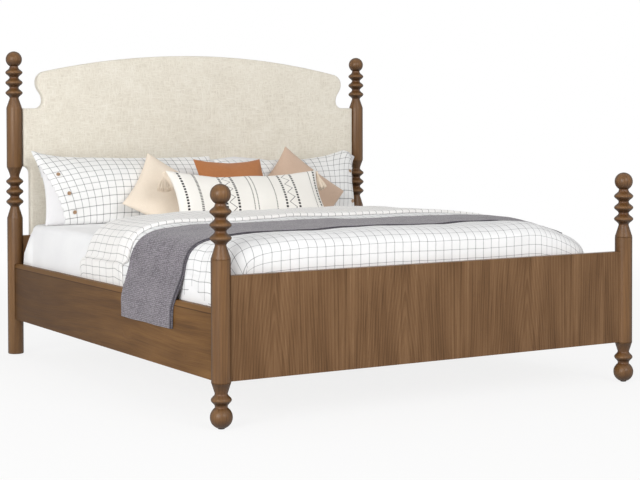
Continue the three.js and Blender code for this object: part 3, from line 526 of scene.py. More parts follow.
def rail_grain(finish):
    """Grain that wanders slowly along the rail and swells round each knot's place, height and reach."""
    x, y, z = finish.apart(finish.here())
    across = finish.minus(z, (rail_low.z + rail_high.z) / 2)
    slow = finish.noise(finish.join(x, finish.times(y, 0.5), 0.0), 1.6, 1)
    across = finish.plus(across, finish.times(finish.minus(slow, 0.5), rail_wander))
    here = finish.join(0.0, finish.times(y, knot_stretch), z)
    for along, height, reach in knots:
        knot = (0, along * knot_stretch, height)
        gap = finish.add("VectorMath", {0: here, 1: knot}, "Value", operation="DISTANCE")
        across = finish.plus(across, finish.times(finish.ease(gap, reach, 0.0), knot_swell))
    return across, finish.plus(x, -rail_heart_share * post_x), y, rail_taper


def paint_rail_light(material):
    """Paints light on the rail: a paler band on the bevel as painted highlight, a dark painted shadow line
    below it, and painted shade that deepens towards the head.
    """
    finish = Finish.of(material)
    base = finish.shader.inputs["Base Color"]
    colour = base.links[0].from_socket
    _, y, z = finish.apart(finish.here())
    down = finish.minus(rail_high.z, z)
    line = finish.ease(finish.math("ABSOLUTE", finish.minus(down, shadow_line_drop)), *shadow_line_fade)
    for cover, share, stain in [(finish.ease(y, *head_shade_range), head_shade_share, head_shade_colour),
                                (finish.ease(down, *bevel_highlight_band), bevel_highlight_share, bevel_highlight_colour),
                                (line, shadow_line_share, shadow_line_colour)]:
        colour = finish.mix(finish.times(cover, share), colour, srgb(*stain))
    finish.feed(base, colour)


rail_wood = wood("rail_wood", rail_grain, rail_tones, pitch=0.014, roughness=0.46, figure=0.55, gleam=0.08)
paint_rail_light(rail_wood)
dress(["side_rail_left", "side_rail_right"], rail_wood)

# Rail fittings
# Each rail end has a zinc-plated steel plate with two hooks, which drop behind a slotted plate screwed into
# the post. Two countersunk screws hold each slotted plate.
steel = Finish("plated_steel", 0.34, Metallic=1.0)
brushing = steel.noise(steel.here(), 180, 3)
steel_colour = steel.tones(brushing, [(0.3, (122, 125, 128)), (0.7, (168, 170, 172))])
steel_finish = steel.done(steel_colour, brushing, 0.0001, steel.plus(0.26, steel.times(brushing, 0.18)))
plates = [f"{kind}_plate_{end}_{side}" for kind in ("slot", "hook") for end in ("head", "foot")
          for side in ("left", "right")]
dress(plates, steel_finish, 0.0004)
screw_head = 0.0045
screw_sink = 0.0012
screw_sides = 16
plate_screw_shares = (0.08, 0.92)
plate_screw_depth = 0.0052


def screw_row(name, places):
    """Flat screw heads with a small round dimple; each place is a point and the way that its head faces."""
    rim = [(0.0, -screw_sink), (screw_head * 0.55, -screw_sink), (screw_head, -0.0001),
           (screw_head * 0.97, 0.0002), (screw_head * 0.3, 0.0003), (screw_head * 0.12, -0.0006),
           (0.0, -0.0006)]
    points, faces = [], []
    for place, facing in places:
        turn = Vector((0, 0, 1)).rotation_difference(Vector(facing)).to_matrix()
        head, sides = lathe(rim, screw_sides)
        faces += [[i + len(points) for i in side] for side in sides]
        points += [turn @ Vector(p) + Vector(place) for p in head]
    return make_piece(name, points, faces, steel_finish)


for side in ("left", "right"):
    x = post_x if side == "right" else -post_x
    places = []
    for end, line, way in (("head", head_line, -1), ("foot", foot_line, 1)):
        low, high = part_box(f"hook_plate_{end}_{side}")
        for share in plate_screw_shares:
            height = low.z + (high.z - low.z) * share
            places.append(((x, line + way * (shaft_radius - plate_screw_depth), height), (0, way, 0)))
    screw_row(f"plate_screws_{side}", places)

# Floor pads
# A round pad of moulded black nylon under each post keeps the wood off the floor. Its rims are eased and it
# is pressed on to the post's end.
nylon = Finish("black_nylon", 0.5)
moulding = nylon.noise(nylon.here(), 700, 2)
nylon_colour = nylon.tones(moulding, [(0.3, (32, 31, 30)), (0.7, (52, 50, 48))])
nylon_finish = nylon.done(nylon_colour, moulding, 0.0001)
pad_ease_share = 0.25
pad_facets = 40


def pad_outline(radius, low, high):
    ease = (high - low) * pad_ease_share
    return [(0.0, low), (radius - ease, low), (radius, low + ease), (radius, high - ease),
            (radius - ease, high), (0.0, high)]


for end, line in (("head", head_line), ("foot", foot_line)):
    for side in ("left", "right"):
        low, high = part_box(f"floor_pad_{end}_{side}")
        points, faces = lathe(pad_outline((high.x - low.x) / 2, low.z, high.z), pad_facets)
        x = (low.x + high.x) / 2
        pad = make_piece(f"nylon_pad_{end}_{side}", place_at(points, x, line), faces, nylon_finish)
        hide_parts(f"floor_pad_{end}_{side}")

# Slatted base
# Eleven pine slats lie on ledges screwed along the rails and on a middle beam. The beam sits in folded
# steel shoes and stands on two square legs with levelling glides.
slat_count = 11
board_shift, board_step = 1.7, 0.013
heart_offset, board_taper = 0.02, 0.01
sawn_ease = 0.002
ledge_screws = 9
ledge_margin = 0.06
shoe_screw_shares = (0.35, 0.75)
pine_tones = [(0.0, (150, 116, 78)), (0.4, (186, 152, 110)), (0.7, (205, 174, 132)), (1.0, (222, 196, 156))]


def grain_along(axis, spread):
    """The grain of straight boards that run along one axis, each cut at a place of its own in the log."""
    def grain(finish):
        places = list(finish.apart(finish.here()))
        along = places.pop("xyz".index(axis))
        board = finish.math("FLOOR", finish.times(places[0], spread))
        shifted = finish.plus(along, finish.times(board, board_shift))
        into = finish.plus(places[1], finish.times(board, board_step))
        return finish.plus(places[0], heart_offset), into, shifted, board_taper
    return grain


slat_pine = wood("slat_pine", grain_along("x", 5.0), pine_tones, 0.008, 0.62, 0.6)
beam_pine = wood("beam_pine", grain_along("y", 1.0), pine_tones, 0.009, 0.62, 0.6)
leg_pine = wood("leg_pine", grain_along("z", 1.0), pine_tones, 0.009, 0.62, 0.6)
dowel_beech = wood("dowel_beech", grain_along("x", 1.0), pine_tones, 0.004, 0.6, 0.6)
dress([f"slat_{i:02d}" for i in range(1, slat_count + 1)], slat_pine, sawn_ease)
dress(["slat_ledge_left", "slat_ledge_right", "centre_beam"], beam_pine, sawn_ease)
dress(["centre_leg_foot", "centre_leg_head"], leg_pine, sawn_ease)
dowels = [f"headboard_dowel_{level}_{side}" for level in ("lower", "upper") for side in ("left", "right")]
dress(dowels, dowel_beech, 0.0008)
dress(["beam_shoe_foot", "beam_shoe_head"], steel_finish, 0.0006)

for side in ("left", "right"):
    low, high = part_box(f"slat_ledge_{side}")
    face, way = (high.x, 1) if side == "left" else (low.x, -1)
    height = (low.z + high.z) / 2
    line = np.linspace(low.y + ledge_margin, high.y - ledge_margin, ledge_screws)
    screw_row(f"ledge_screws_{side}", [((face, y, height), (way, 0, 0)) for y in line])
for end in ("foot", "head"):
    low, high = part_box(f"beam_shoe_{end}")
    heights = [low.z + (high.z - low.z) * share for share in shoe_screw_shares]
    screw_row(f"shoe_screws_{end}", [((x, (low.y + high.y) / 2, z), (facing, 0, 0)) for z in heights
                                     for x, facing in ((low.x, -1), (high.x, 1))])

glide_outline = dict(height=0.01, radius=0.018, ease=0.001, slope=0.002, slope_inset=0.004, stem=0.004,
                     thread=0.0015, thread_depth=0.0004, facets=32)


def add_glide(end):
    """A nylon disc on a threaded stem, which the leg's bore takes."""
    low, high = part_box(f"levelling_glide_{end}")
    size = glide_outline
    turning = Turning(low.z, size["radius"] - size["ease"]).line(size["ease"], size["radius"])
    turning.line(size["height"] - size["ease"] - size["slope"])
    turning.line(size["slope"], size["radius"] - size["slope_inset"]).line(0, size["stem"])
    half, crest = size["thread"] / 2, size["stem"]
    for _ in range(int((high.z - turning.end[1]) / size["thread"])):
        turning.line(half, crest - size["thread_depth"]).line(half, crest)
    turning.line(high.z - turning.end[1]).line(0, 0.0)
    points, faces = lathe(turning.points, size["facets"])
    middle = (low + high) / 2
    glide = make_piece(f"glide_{end}_disc", place_at(points, middle.x, middle.y), faces, nylon_finish,
                       f"glide_{end}")
    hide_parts(f"levelling_glide_{end}")


add_glide("foot")
add_glide("head")

# Headboard
# A plywood shape doweled between the head posts, padded with foam and covered in an oatmeal boucle that is
# pulled round its edge and stapled behind, under a dark lining cloth.
padding_low, padding_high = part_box("headboard_padding")
core_low, core_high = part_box("headboard_core")
headboard = dict(leg_gap=0.037, shoulder_bottom=0.93, shoulder_top=1.217, waist_inset=0.106,
                 waist_fillet=0.037, ear_inset=0.072, ear_height=1.347, ear_radius=0.055,
                 ear_turn=math.radians(78), peak=1.491)
edge_round = 0.013
straight_side = 0.038
crown = padding_high.y - padding_low.y - straight_side
crown_power = 6
back_gap, core_gap = 0.002, 0.001
padding_lumps = [(0.16, 0.0016, 3.0), (0.05, 0.0005, 8.0)]
front_margin = 0.004
face_rings = 16
outline_step = 0.012


def arc(centre_x, centre_z, radius, start, end, steps=8):
    return [(centre_x + radius * math.cos(a), centre_z + radius * math.sin(a))
            for a in np.linspace(start, end, steps + 1)]


def headboard_outline():
    """The outline from the right lower corner over the peak to the left one, in even steps."""
    size = headboard
    edge = padding_high.x
    face = edge + seat_gap
    leg = face - size["leg_gap"]
    waist, ear = face - size["waist_inset"], face - size["ear_inset"]
    waist_height = size["shoulder_top"] + size["waist_fillet"]
    rise = size["ear_height"] - waist_height
    sweep = 2 * math.atan((ear - waist) / rise)
    bend = rise / (2 * math.sin(sweep))
    right = [(leg, padding_low.z)]
    right += arc(edge, size["shoulder_bottom"] - edge + leg, edge - leg, math.pi, math.pi / 2)
    right += [(edge, size["shoulder_top"])]
    right += arc(waist + size["waist_fillet"], waist_height, size["waist_fillet"], 1.5 * math.pi, math.pi)
    right += arc(waist + bend, waist_height, bend, math.pi, math.pi - sweep)[1:]
    right += arc(ear - bend, size["ear_height"], bend, -sweep, 0)[1:]
    ear_radius = size["ear_radius"]
    right += arc(ear - ear_radius, size["ear_height"], ear_radius, 0, size["ear_turn"], 12)[1:]
    end_x, end_z = right[-1]
    fall = size["peak"] - end_z
    arch = (end_x ** 2 + fall ** 2) / (2 * fall)
    right += arc(0, size["peak"] - arch, arch, math.acos(end_x / arch), math.pi / 2, 60)[1:]
    left = [(-x, z) for x, z in right[-2::-1]]
    return even_steps(right + left, outline_step)


def even_steps(points, step):
    """A line through the points in even steps, its corners softened by the step."""
    points = np.array(points)
    lengths = np.concatenate([[0], np.cumsum(np.linalg.norm(np.diff(points, axis=0), axis=1))])
    count = max(2, round(lengths[-1] / step))
    at = np.linspace(0, lengths[-1], count + 1)
    return np.column_stack([np.interp(at, lengths, points[:, k]) for k in range(points.shape[1])])


def inset(outline, distance):
    """A closed outline moved inwards."""
    before = outline - np.roll(outline, 1, axis=0)
    after = np.roll(outline, -1, axis=0) - outline
    along = before / np.linalg.norm(before, axis=1)[:, None] + after / np.linalg.norm(after, axis=1)[:, None]
    along /= np.linalg.norm(along, axis=1)[:, None]
    return outline + np.column_stack([-along[:, 1], along[:, 0]]) * distance


def closed_outline(outline, step):
    """Adds even steps along the straight bottom edge."""
    bottom = even_steps([outline[-1], outline[0]], step)
    return np.vstack([outline, bottom[1:-1]])


def ruffle(points, size, depth, seed):
    """Soft bumps of a size and depth in metres, the same on every run."""
    shift = Vector((seed, seed * 1.7, -seed))
    return np.array([noise.noise(Vector(p) / size + shift) for p in points]) * depth


def ring_faces(rings, count, start=0):
    """The faces between rings of this many points, of which the first ring starts here."""
    corners = [(start + r * count + i, start + r * count + (i + 1) % count)
               for r in range(rings - 1) for i in range(count)]
    return [(a, b, b + count, a + count) for a, b in corners]


def upright_ring(outline, y):
    return np.column_stack([outline[:, 0], np.full(len(outline), y), outline[:, 1]])


def padding_front(outline):
    """The covered side, as rings from the back edge round the front edge to near the middle of the crown."""
    front = padding_low.y + crown
    rings = [upright_ring(outline, padding_high.y - back_gap), upright_ring(outline, front + edge_round)]
    for angle in np.linspace(0, math.pi / 2, 7)[1:]:
        flat = inset(outline, edge_round * (1 - math.cos(angle)))
        rings.append(upright_ring(flat, front + edge_round * (1 - math.sin(angle))))
    middle = np.array([0.0, (core_low.z + headboard["peak"]) / 2])
    for share in np.linspace(1, 0, face_rings + 1)[1:-1]:
        swell = crown * (1 - share ** crown_power)
        rings.append(upright_ring(middle + (flat - middle) * share, front - swell))
    points = np.vstack(rings)
    relief = sum(ruffle(points, *lump) for lump in padding_lumps)
    points[:, 1] += np.where(points[:, 1] < front + front_margin, np.abs(relief), 0.0)
    return points, len(rings), (middle[0], front - crown, middle[1])


def add_padding():
    """The padded cover with the pocket at its back that takes the board."""
    outline = closed_outline(headboard_outline(), outline_step)
    count = len(outline)
    points, rings, centre = padding_front(outline)
    last = (rings - 1) * count
    faces = ring_faces(rings, count)
    sides = [(i, (i + 1) % count) for i in range(count)]
    faces += [(last + i, last + j, len(points)) for i, j in sides]
    inner = inset(outline, padding_high.x - core_high.x - core_gap)
    start = len(points) + 1
    back = upright_ring(inner, padding_high.y - back_gap)
    pocket = upright_ring(inner, core_low.y - core_gap)
    faces += [(i, start + i, start + j, j) for i, j in sides]
    faces += [(a, d, c, b) for a, b, c, d in ring_faces(2, count, start)]
    floor = start + 2 * count
    faces += [(start + count + i, floor, start + count + j) for i, j in sides]
    points = np.vstack([points, [centre], back, pocket, [(centre[0], core_low.y - core_gap, centre[2])]])
    padding = make_piece("upholstered_padding", points, faces, boucle)
    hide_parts("headboard_padding")
    return padding


boucle_tones = [(0.38, (219, 211, 195)), (0.5, (233, 226, 211)), (0.58, (240, 234, 220)),
                (0.7, (247, 242, 231))]
slub_stretch, slub_scale = 0.16, 210
slub_weight, patch_weight, loop_weight = 0.55, 0.2, 0.25
slub_relief, boucle_relief = 1.5, 0.0016


def boucle_finish():
    """Undyed looped yarn with paler and darker slubs running both ways of the cloth."""
    finish = Finish("oatmeal_boucle", 0.92, Sheen_Weight=0.25, Sheen_Roughness=0.5, Specular_IOR_Level=0.2)
    x, y, z = finish.apart(finish.here())
    weft = finish.noise(finish.join(finish.times(x, slub_stretch), y, z), slub_scale, 2)
    warp = finish.noise(finish.join(x, y, finish.times(z, slub_stretch)), slub_scale, 2)
    patches = finish.noise(finish.here(), 11, 4, 0.62)
    loops = finish.noise(finish.here(), 420, 2, 0.7)
    yarns = finish.math("MAXIMUM", weft, warp)
    slub = finish.weigh((yarns, slub_weight), (patches, patch_weight), (loops, loop_weight))
    height = finish.plus(loops, finish.times(slub, slub_relief))
    return finish.done(finish.tones(slub, boucle_tones), height, boucle_relief)


boucle = boucle_finish()
add_padding()
ply = wood("birch_ply", grain_along("x", 0.2), pine_tones, 0.012, 0.6, 0.6)
dress(["headboard_core"], ply, 0.001)
lining = Finish("lining_cloth", 0.95)
lining_weave = lining.noise(lining.here(), 900, 1)
lining_colour = lining.tones(lining_weave, [(0.3, (44, 42, 40)), (0.7, (66, 63, 60))])
lining_finish = lining.done(lining_colour, lining_weave, 0.0003)
dress(["headboard_back_cover"], lining_finish, 0.0006)

# Mattress
# A sprung mattress in quilted white ticking, with a corded edge round its top and bottom. Almost all of it
# is under the sheet.
mattress_low, mattress_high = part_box("mattress")
mattress_corner = 0.07
mattress_roll = 0.03
cord_radius = 0.004
cord_sides = 8
quilt_pitch, quilt_depth, quilt_steepness = 0.2, 0.002, 3
slouch_in, slouch_foot, slouch_fold = 0.13, 0.05, 0.048
drawn_side, drawn_foot, drawn_height = (0.45, 1.0), (-1.02, -0.76), (0.0, 0.5)
sunk_side, sunk_foot, sunk_fold, sunk_fold_end = (0.45, 0.95), (-0.9, -0.42), (-0.32, -0.12), (0.3, 0.55)
slouch_top = 1.1


def smooth(value, low, high):
    """Rises smoothly from 0 at low to 1 at high."""
    share = np.clip((value - low) / (high - low), 0, 1)
    return share * share * (3 - 2 * share)


def slouch(points):
    """Lets the bed's right side sink and its corner at the foot draw in, with all that lies there."""
    x, y, z = np.asarray(points, float).T
    height = np.clip((z - mattress_low.z) / (mattress_high.z - mattress_low.z), 0, slouch_top)
    inwards = slouch_in * smooth(x, *drawn_side) * (1 - smooth(y, *drawn_foot))
    inwards *= smooth(height, *drawn_height)
    at_foot = slouch_foot * (1 - smooth(y, *sunk_foot))
    at_fold = slouch_fold * smooth(y, *sunk_fold) * (1 - smooth(y, *sunk_fold_end))
    return np.column_stack([x - inwards, y, z - (at_foot + at_fold) * smooth(x, *sunk_side) * height])


def rounded_plan(low, high, radius, step=0.02):
    """A rectangle with round corners, anticlockwise from its right side, in even steps."""
    corners = [(high.x - radius, low.y + radius, -0.5), (high.x - radius, high.y - radius, 0.0),
               (low.x + radius, high.y - radius, 0.5), (low.x + radius, low.y + radius, 1.0)]
    plan = []
    for x, y, turn in corners:
        plan += arc(x, y, radius, turn * math.pi, (turn + 0.5) * math.pi, 10)
    return even_steps(plan + plan[:1], step)[:-1]


def stack(rings):
    """Rings of equal length as the points and faces of a skin."""
    return np.vstack(rings), ring_faces(len(rings), len(rings[0]))


def level_ring(plan, height):
    return np.column_stack([plan, np.full(len(plan), height)])


def fill_ring(points, faces, first, count, upwards, rings=14, relief=None):
    """Closes a skin's end with shrinking rings round the middle of that end."""
    edge = points[first:first + count]
    middle = edge.mean(axis=0)
    start = len(points)
    made = [first + np.arange(count)]
    extra = []
    for share in np.linspace(1, 0, rings + 1)[1:-1]:
        ring = middle + (edge - middle) * share
        made.append(start + len(extra) * count + np.arange(count))
        extra.append(ring)
    points = np.vstack([points, *extra, [middle]])
    if relief is not None:
        points[start:] = relief(points[start:])
    tip = len(points) - 1
    sides = [(i, (i + 1) % count) for i in range(count)]
    quads = [(a[i], a[j], b[j], b[i]) for a, b in zip(made, made[1:]) for i, j in sides]
    quads += [(made[-1][i], made[-1][j], tip) for i, j in sides]
    return points, faces + [face if upwards else face[::-1] for face in quads]


def add_mattress():
    plan = rounded_plan(mattress_low, mattress_high, mattress_corner)
    low, high = mattress_low.z, mattress_high.z
    rings = []
    for angle in np.linspace(0, math.pi / 2, 5):
        rings.append(level_ring(inset(plan, mattress_roll / 2 * (1 - math.sin(angle))),
                                low + mattress_roll / 2 * (1 - math.cos(angle))))
    for share in (0.25, 0.5, 0.75):
        rings.append(level_ring(plan, low + (high - low) * share))
    for angle in np.linspace(0, math.pi / 2, 7):
        rings.append(level_ring(inset(plan, mattress_roll * (1 - math.cos(angle))),
                                high - mattress_roll * (1 - math.sin(angle))))
    points, faces = stack(rings)
    count = len(plan)
    points, faces = fill_ring(points, faces, len(points) - count, count, True, relief=quilting)
    points, faces = fill_ring(points, faces, 0, count, False)
    body = make_piece("sprung_mattress", slouch(points), faces, ticking)
    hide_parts("mattress")
    for level, height in (("lower", low + mattress_roll / 2), ("upper", high - mattress_roll)):
        edge = slouch(level_ring(inset(plan, cord_radius), height))
        cord = cord_loop(f"mattress_cord_{level}", edge, cord_radius)
        cord.parent = body


def quilting(points):
    """Diamonds sewn into the top."""
    across, along = points[:, 0] + points[:, 1], points[:, 0] - points[:, 1]
    rows, ranks = (np.abs(np.sin(way * math.pi / quilt_pitch)) for way in (across, along))
    points[:, 2] -= quilt_depth * (1 - np.clip(np.minimum(rows, ranks) * quilt_steepness, 0, 1))
    return points


def cord_loop(name, path, radius, sides=cord_sides):
    """A closed cord along a level loop."""
    ahead = np.roll(path, -1, axis=0) - np.roll(path, 1, axis=0)
    ahead /= np.linalg.norm(ahead, axis=1)[:, None]
    out = np.column_stack([ahead[:, 1], -ahead[:, 0], np.zeros(len(path))])
    rings = [path + radius * (math.cos(a) * out + math.sin(a) * np.array([0, 0, 1.0]))
             for a in np.linspace(0, 2 * math.pi, sides + 1)[:-1]]
    points, faces = stack(rings + rings[:1])
    wrap = len(rings) * len(path)
    faces = [tuple(i % wrap for i in face) for face in faces]
    return make_piece(name, points[:wrap], faces, ticking)


def ticking_finish():
    finish = Finish("mattress_ticking", 0.88, Sheen_Weight=0.15)
    weave = finish.noise(finish.here(), 1100, 1)
    cloud = finish.noise(finish.here(), 14, 2)
    shade = finish.weigh((weave, 0.4), (cloud, 0.6))
    return finish.done(finish.tones(shade, [(0.3, (226, 223, 214)), (0.7, (243, 241, 235))]), weave, 0.0003)


ticking = ticking_finish()
add_mattress()

# Bottom sheet
# A white cotton sheet stretched over the mattress. Its sides hang a little loose, flare out over the inner
# edges of the rails and are tucked down beside the mattress.
sheet_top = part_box("fitted_sheet")[1].z
sheet_thickness = 0.002
sheet_gap = 0.0004
rail_top = rail_high.z
rail_inner = abs(rail_high.x)
sheet_flare = 0.0125
corner_flare = 0.06
flare_rise = 0.8
sheet_hem = 0.372
sheet_cells = 0.014
fold_size, fold_depth = 0.055, 0.0022
slack_size, slack_depth = 0.21, 0.004
flare_tautness = 0.7
rail_gap, over_rail, over_rail_height = 0.001, 0.005, 0.003
crease_stretch, crease_size, crease_depth = (0.55, 1.6, 1.0), 0.11, 0.0045
cotton_sheen = dict(Sheen_Weight=0.2, Sheen_Roughness=0.45, Specular_IOR_Level=0.3)
cotton_relief = 0.0012


def add_sheet():
    growth = sheet_gap + sheet_thickness / 2
    plan = inset(rounded_plan(mattress_low, mattress_high, mattress_corner, sheet_cells), -growth)
    top = mattress_high.z + growth
    roll = top - mattress_roll
    outward = plan - inset(plan, 1.0)
    flared = np.abs(outward[:, 0]) ** 3
    cornered = np.clip(2 * np.abs(outward[:, 0]) * outward[:, 1], 0, 1)
    folds = ruffle(level_ring(plan, 0.0), fold_size, 1.0, 5.0)
    slack = np.abs(ruffle(level_ring(plan, 0.0), slack_size, 1.0, 9.0))
    rings = []
    for share in np.linspace(0, 1, 26):
        height = sheet_hem + (roll - sheet_hem) * share
        above = np.clip((height - rail_top) / (roll - rail_top), 0, 1)
        out = (sheet_flare * flared + corner_flare * cornered) * (1 - above) ** flare_rise
        limit = rail_inner - rail_gap + (over_rail if height > rail_top + over_rail_height else 0.0)
        loose = (1 - share) * (fold_depth * folds + slack_depth * slack * (1 - flared * flare_tautness))
        ring = plan + outward * (out + loose)[:, None]
        rings.append(level_ring(np.column_stack([np.clip(ring[:, 0], -limit, limit), ring[:, 1]]), height))
    for angle in np.linspace(0, math.pi / 2, 9)[1:]:
        ring = inset(plan, (mattress_roll + growth) * (1 - math.cos(angle)))
        rings.append(level_ring(ring, top - (mattress_roll + growth) * (1 - math.sin(angle))))
    points, faces = stack(rings)
    count = len(plan)
    points, faces = fill_ring(points, faces, len(points) - count, count, True, 30, creases)
    sheet = make_piece("bottom_sheet", slouch(points), faces, sheet_cotton)
    thicken(sheet, sheet_thickness)
    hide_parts("fitted_sheet")


def creases(points):
    """Low wrinkles that run across the bed."""
    points[:, 2] += np.abs(ruffle(points * crease_stretch, crease_size, crease_depth, 2.0))
    return points


def thicken(piece, thickness):
    modifier = piece.modifiers.new("Cloth thickness", "SOLIDIFY")
    modifier.thickness, modifier.offset = thickness, 0.0
    settle(piece)


def cotton_finish(name, light, dark):
    """Plain woven cotton, clouded a little and softly crumpled."""
    finish = Finish(name, 0.86, **cotton_sheen)
    weave = finish.noise(finish.here(), 1500, 1)
    cloud = finish.noise(finish.here(), 6, 3)
    crumple = finish.noise(finish.here(), 38, 3, 0.6)
    colour = finish.tones(finish.weigh((weave, 0.25), (cloud, 0.75)), [(0.3, dark), (0.7, light)])
    return finish.done(colour, finish.weigh((weave, 0.1), (crumple, 1.0)), cotton_relief)


sheet_cotton = cotton_finish("sheet_cotton", (249, 249, 249), (241, 241, 242))
add_sheet()

# Duvet
# A filled duvet in a white cotton cover with a thin woven windowpane check. Its sides are tucked down
# inside the rails, its foot behind the footboard, and its top is folded back on itself, so the reverse of
# the cover shows.
duvet_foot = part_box("duvet")[0].y
duvet_head = mattress_high.y - 0.813
duvet_hem = rail_top - 0.05
duvet_loft = 0.072
duvet_squareness = 8
foot_round, foot_drop, foot_corner = 0.11, 0.06, 0.09
head_round, head_drop = 0.055, 0.046
turnback_edge = duvet_head - 0.42
turnback_lift = 0.018
turnback_round = 0.011
duvet_cells = 0.014
duvet_slip, fall_power = 0.12, 1.5
duvet_room = 0.004
face_weave = 1.4
duvet_swells = [(0.33, 0.0075, 1.0), (0.12, 0.0028, 4.0)]
side_reach, side_calm = (0.42, 0.22), 0.5
gather_stretch, gather_size, gather_depth = (0.35, 1.0, 1.0), 0.075, 0.006
pressed_start, pressed_end = (-0.91, -0.79), (-0.36, -0.26)
pressed_depth = 0.013
rail_clearance = 0.0008
bulge_over_rail, bulge_rise, bulge_start = 0.014, 0.06, 0.004
tuck_reach, tuck_loss = (0.16, 0.03), 0.55
shell_round, shell_gap, least_filling = 0.003, 0.0006, 0.002
section_shares = np.linspace(-1, 1, 4001)
section_step = 0.002


def end_rounds(y):
    foot = np.clip(1 - (y - duvet_foot) / foot_round, 0, 1)
    head = np.clip(1 - (duvet_head - y) / head_round, 0, 1)
    return 1 - np.sqrt(1 - foot ** 2), 1 - np.sqrt(1 - head ** 2)


def duvet_section(shares, y):
    """The places across the duvet and their heights at a place along it."""
    foot, head = end_rounds(y)
    half = rail_inner - seat_gap - duvet_room - foot_corner * foot
    full = sheet_top + duvet_loft - foot_drop * foot - head_drop * head
    side = (1 - np.minimum(1, np.abs(shares)) ** duvet_squareness) ** (1 / duvet_squareness)
    return shares * half, duvet_hem + (full - duvet_hem) * side


def length_along(x, z):
    steps = np.hypot(np.diff(x), np.diff(z))
    return np.concatenate([[0], np.cumsum(steps)])


section_lengths = length_along(*duvet_section(section_shares, 0.0))
section_lengths -= section_lengths[-1] / 2
half_girth = section_lengths[-1]


def duvet_surface(across, y, lift=0.0):
    """Points of the duvet's outside at lengths across it from its middle, raised square to it."""
    before, here, after = (np.column_stack(duvet_section(np.interp(at, section_lengths, section_shares), y))
                           for at in (across - section_step, across, across + section_step))
    tangent = after - before
    tangent /= np.maximum(np.linalg.norm(tangent, axis=1), 1e-9)[:, None]
    x, z = here.T
    y = np.broadcast_to(np.asarray(y, float), x.shape)
    places = np.column_stack([across, y, np.zeros(len(x))])
    swell = sum(ruffle(places, *lump) for lump in duvet_swells)
    side = smooth(np.abs(across), *(half_girth - reach for reach in side_reach))
    gathers = ruffle(places * gather_stretch, gather_size, gather_depth, 6.0) * side
    pressed = pressed_depth * (1 - side) * smooth(y, *pressed_start) * (1 - smooth(y, *pressed_end))
    out = np.asarray(lift) + swell * (1 - side_calm * side) + gathers - pressed
    x, z = x - out * tangent[:, 1], z + out * tangent[:, 0]
    bulge = bulge_over_rail * smooth(z, rail_top, rail_top + bulge_rise)
    limit = rail_inner - rail_clearance + np.where(z > rail_top + bulge_start, bulge, 0.0)
    return np.column_stack([np.clip(x, -limit, limit), y, z])


def tucked(across):
    """How much of the fold's lift is left towards the tucked-down sides."""
    return 1 - smooth(np.abs(across), *(half_girth - reach for reach in tuck_reach)) * tuck_loss


def fall_share(across):
    """How far down its side a place across the duvet is: 0 at the top of the bed, 1 at the rail."""
    below = np.abs(across) - (half_girth - (rail_top - duvet_hem) - (sheet_top - rail_top))
    return np.clip(below / (sheet_top - rail_top), 0, 1) ** fall_power


def slipped(across, y):
    """Where a place along the duvet ends up, as its sides slip towards the head while they fall."""
    return y + duvet_slip * fall_share(across) * (y - duvet_foot) / (duvet_head - duvet_foot)


def unslipped(across, y):
    """Where a place along the slipped duvet was before."""
    rate = duvet_slip * fall_share(across) / (duvet_head - duvet_foot)
    return (y + rate * duvet_foot) / (1 + rate)


def on_sheet(points):
    """The nearest places on the outside of the sheet."""
    radius = mattress_roll + shell_round
    reach = sheet_thickness + 2 * sheet_gap + shell_gap
    low = np.array([mattress_low.x - reach + radius, mattress_low.y - reach + radius, 0.0])
    high = np.array([mattress_high.x + reach - radius, mattress_high.y, mattress_high.z + reach - radius])
    core = np.clip(points, low, high)
    away = points - core
    return core + away / np.maximum(np.linalg.norm(away, axis=1), 1e-6)[:, None] * radius


def duvet_rows():
    """Rows up the foot, along the top to the fold, over its rounded edge and on to the head, each with its
    place along the bed, height share and lift. The second value is the first row of the folded-back part."""
    rows = [(duvet_foot + 0.0006, share, 0.0) for share in np.linspace(0.12, 1, 14)[:-1]]
    for angle in np.linspace(0, math.pi / 2, 15)[:-1]:
        rows.append((duvet_foot + foot_round * (1 - math.cos(angle)), 1.0, 0.0))
    rows += [(y, 1.0, 0.0) for y in np.arange(duvet_foot + foot_round, turnback_edge - 0.01, duvet_cells)]
    folded = len(rows) + 2
    for angle in np.linspace(-math.pi / 2, math.pi / 2, 9):
        lift = turnback_lift * (0.5 + 0.5 * math.sin(angle)) - 0.001
        rows.append((turnback_edge - turnback_round * math.cos(angle), 1.0, lift))
    back = np.arange(turnback_edge + 0.01, duvet_head - head_round, duvet_cells)
    rows += [(y, 1.0, turnback_lift) for y in back]
    for angle in np.linspace(0, math.pi / 2, 15):
        rows.append((duvet_head - head_round * (1 - math.sin(angle)), 1.0, turnback_lift))
    return rows, folded


def duvet_outside(rows, across):
    """The grid of points that shows, rows along the bed and columns across it."""
    outside = []
    for y, height_share, lift in rows:
        points = duvet_surface(across, y, lift * tucked(across))
        points[:, 2] = duvet_hem + (points[:, 2] - duvet_hem) * height_share
        points[:, 1] = slipped(across, points[:, 1])
        outside.append(points)
    outside = np.array(outside)
    outside[0, :, 2] = np.maximum(outside[0, :, 2], duvet_hem)
    return outside


def duvet_uvs(outside):
    """The grid's places on the cloth in metres, with the weave closer together on the foot's face."""
    half = outside.shape[1] // 2
    middle = outside[:, half]
    along = np.concatenate([[0], np.cumsum(np.linalg.norm(np.diff(middle, axis=0), axis=1))])
    steps = np.linalg.norm(np.diff(outside[..., [0, 2]], axis=1), axis=2)
    around = np.pad(np.cumsum(steps, axis=1), ((0, 0), (1, 0)))
    around -= around[:, half][:, None]
    front_length = np.interp(duvet_foot + foot_round, middle[:, 1], along)
    woven = along + (face_weave - 1) * np.minimum(along, front_length)
    return np.dstack([around, np.broadcast_to(woven[:, None], around.shape)]).reshape(-1, 2)


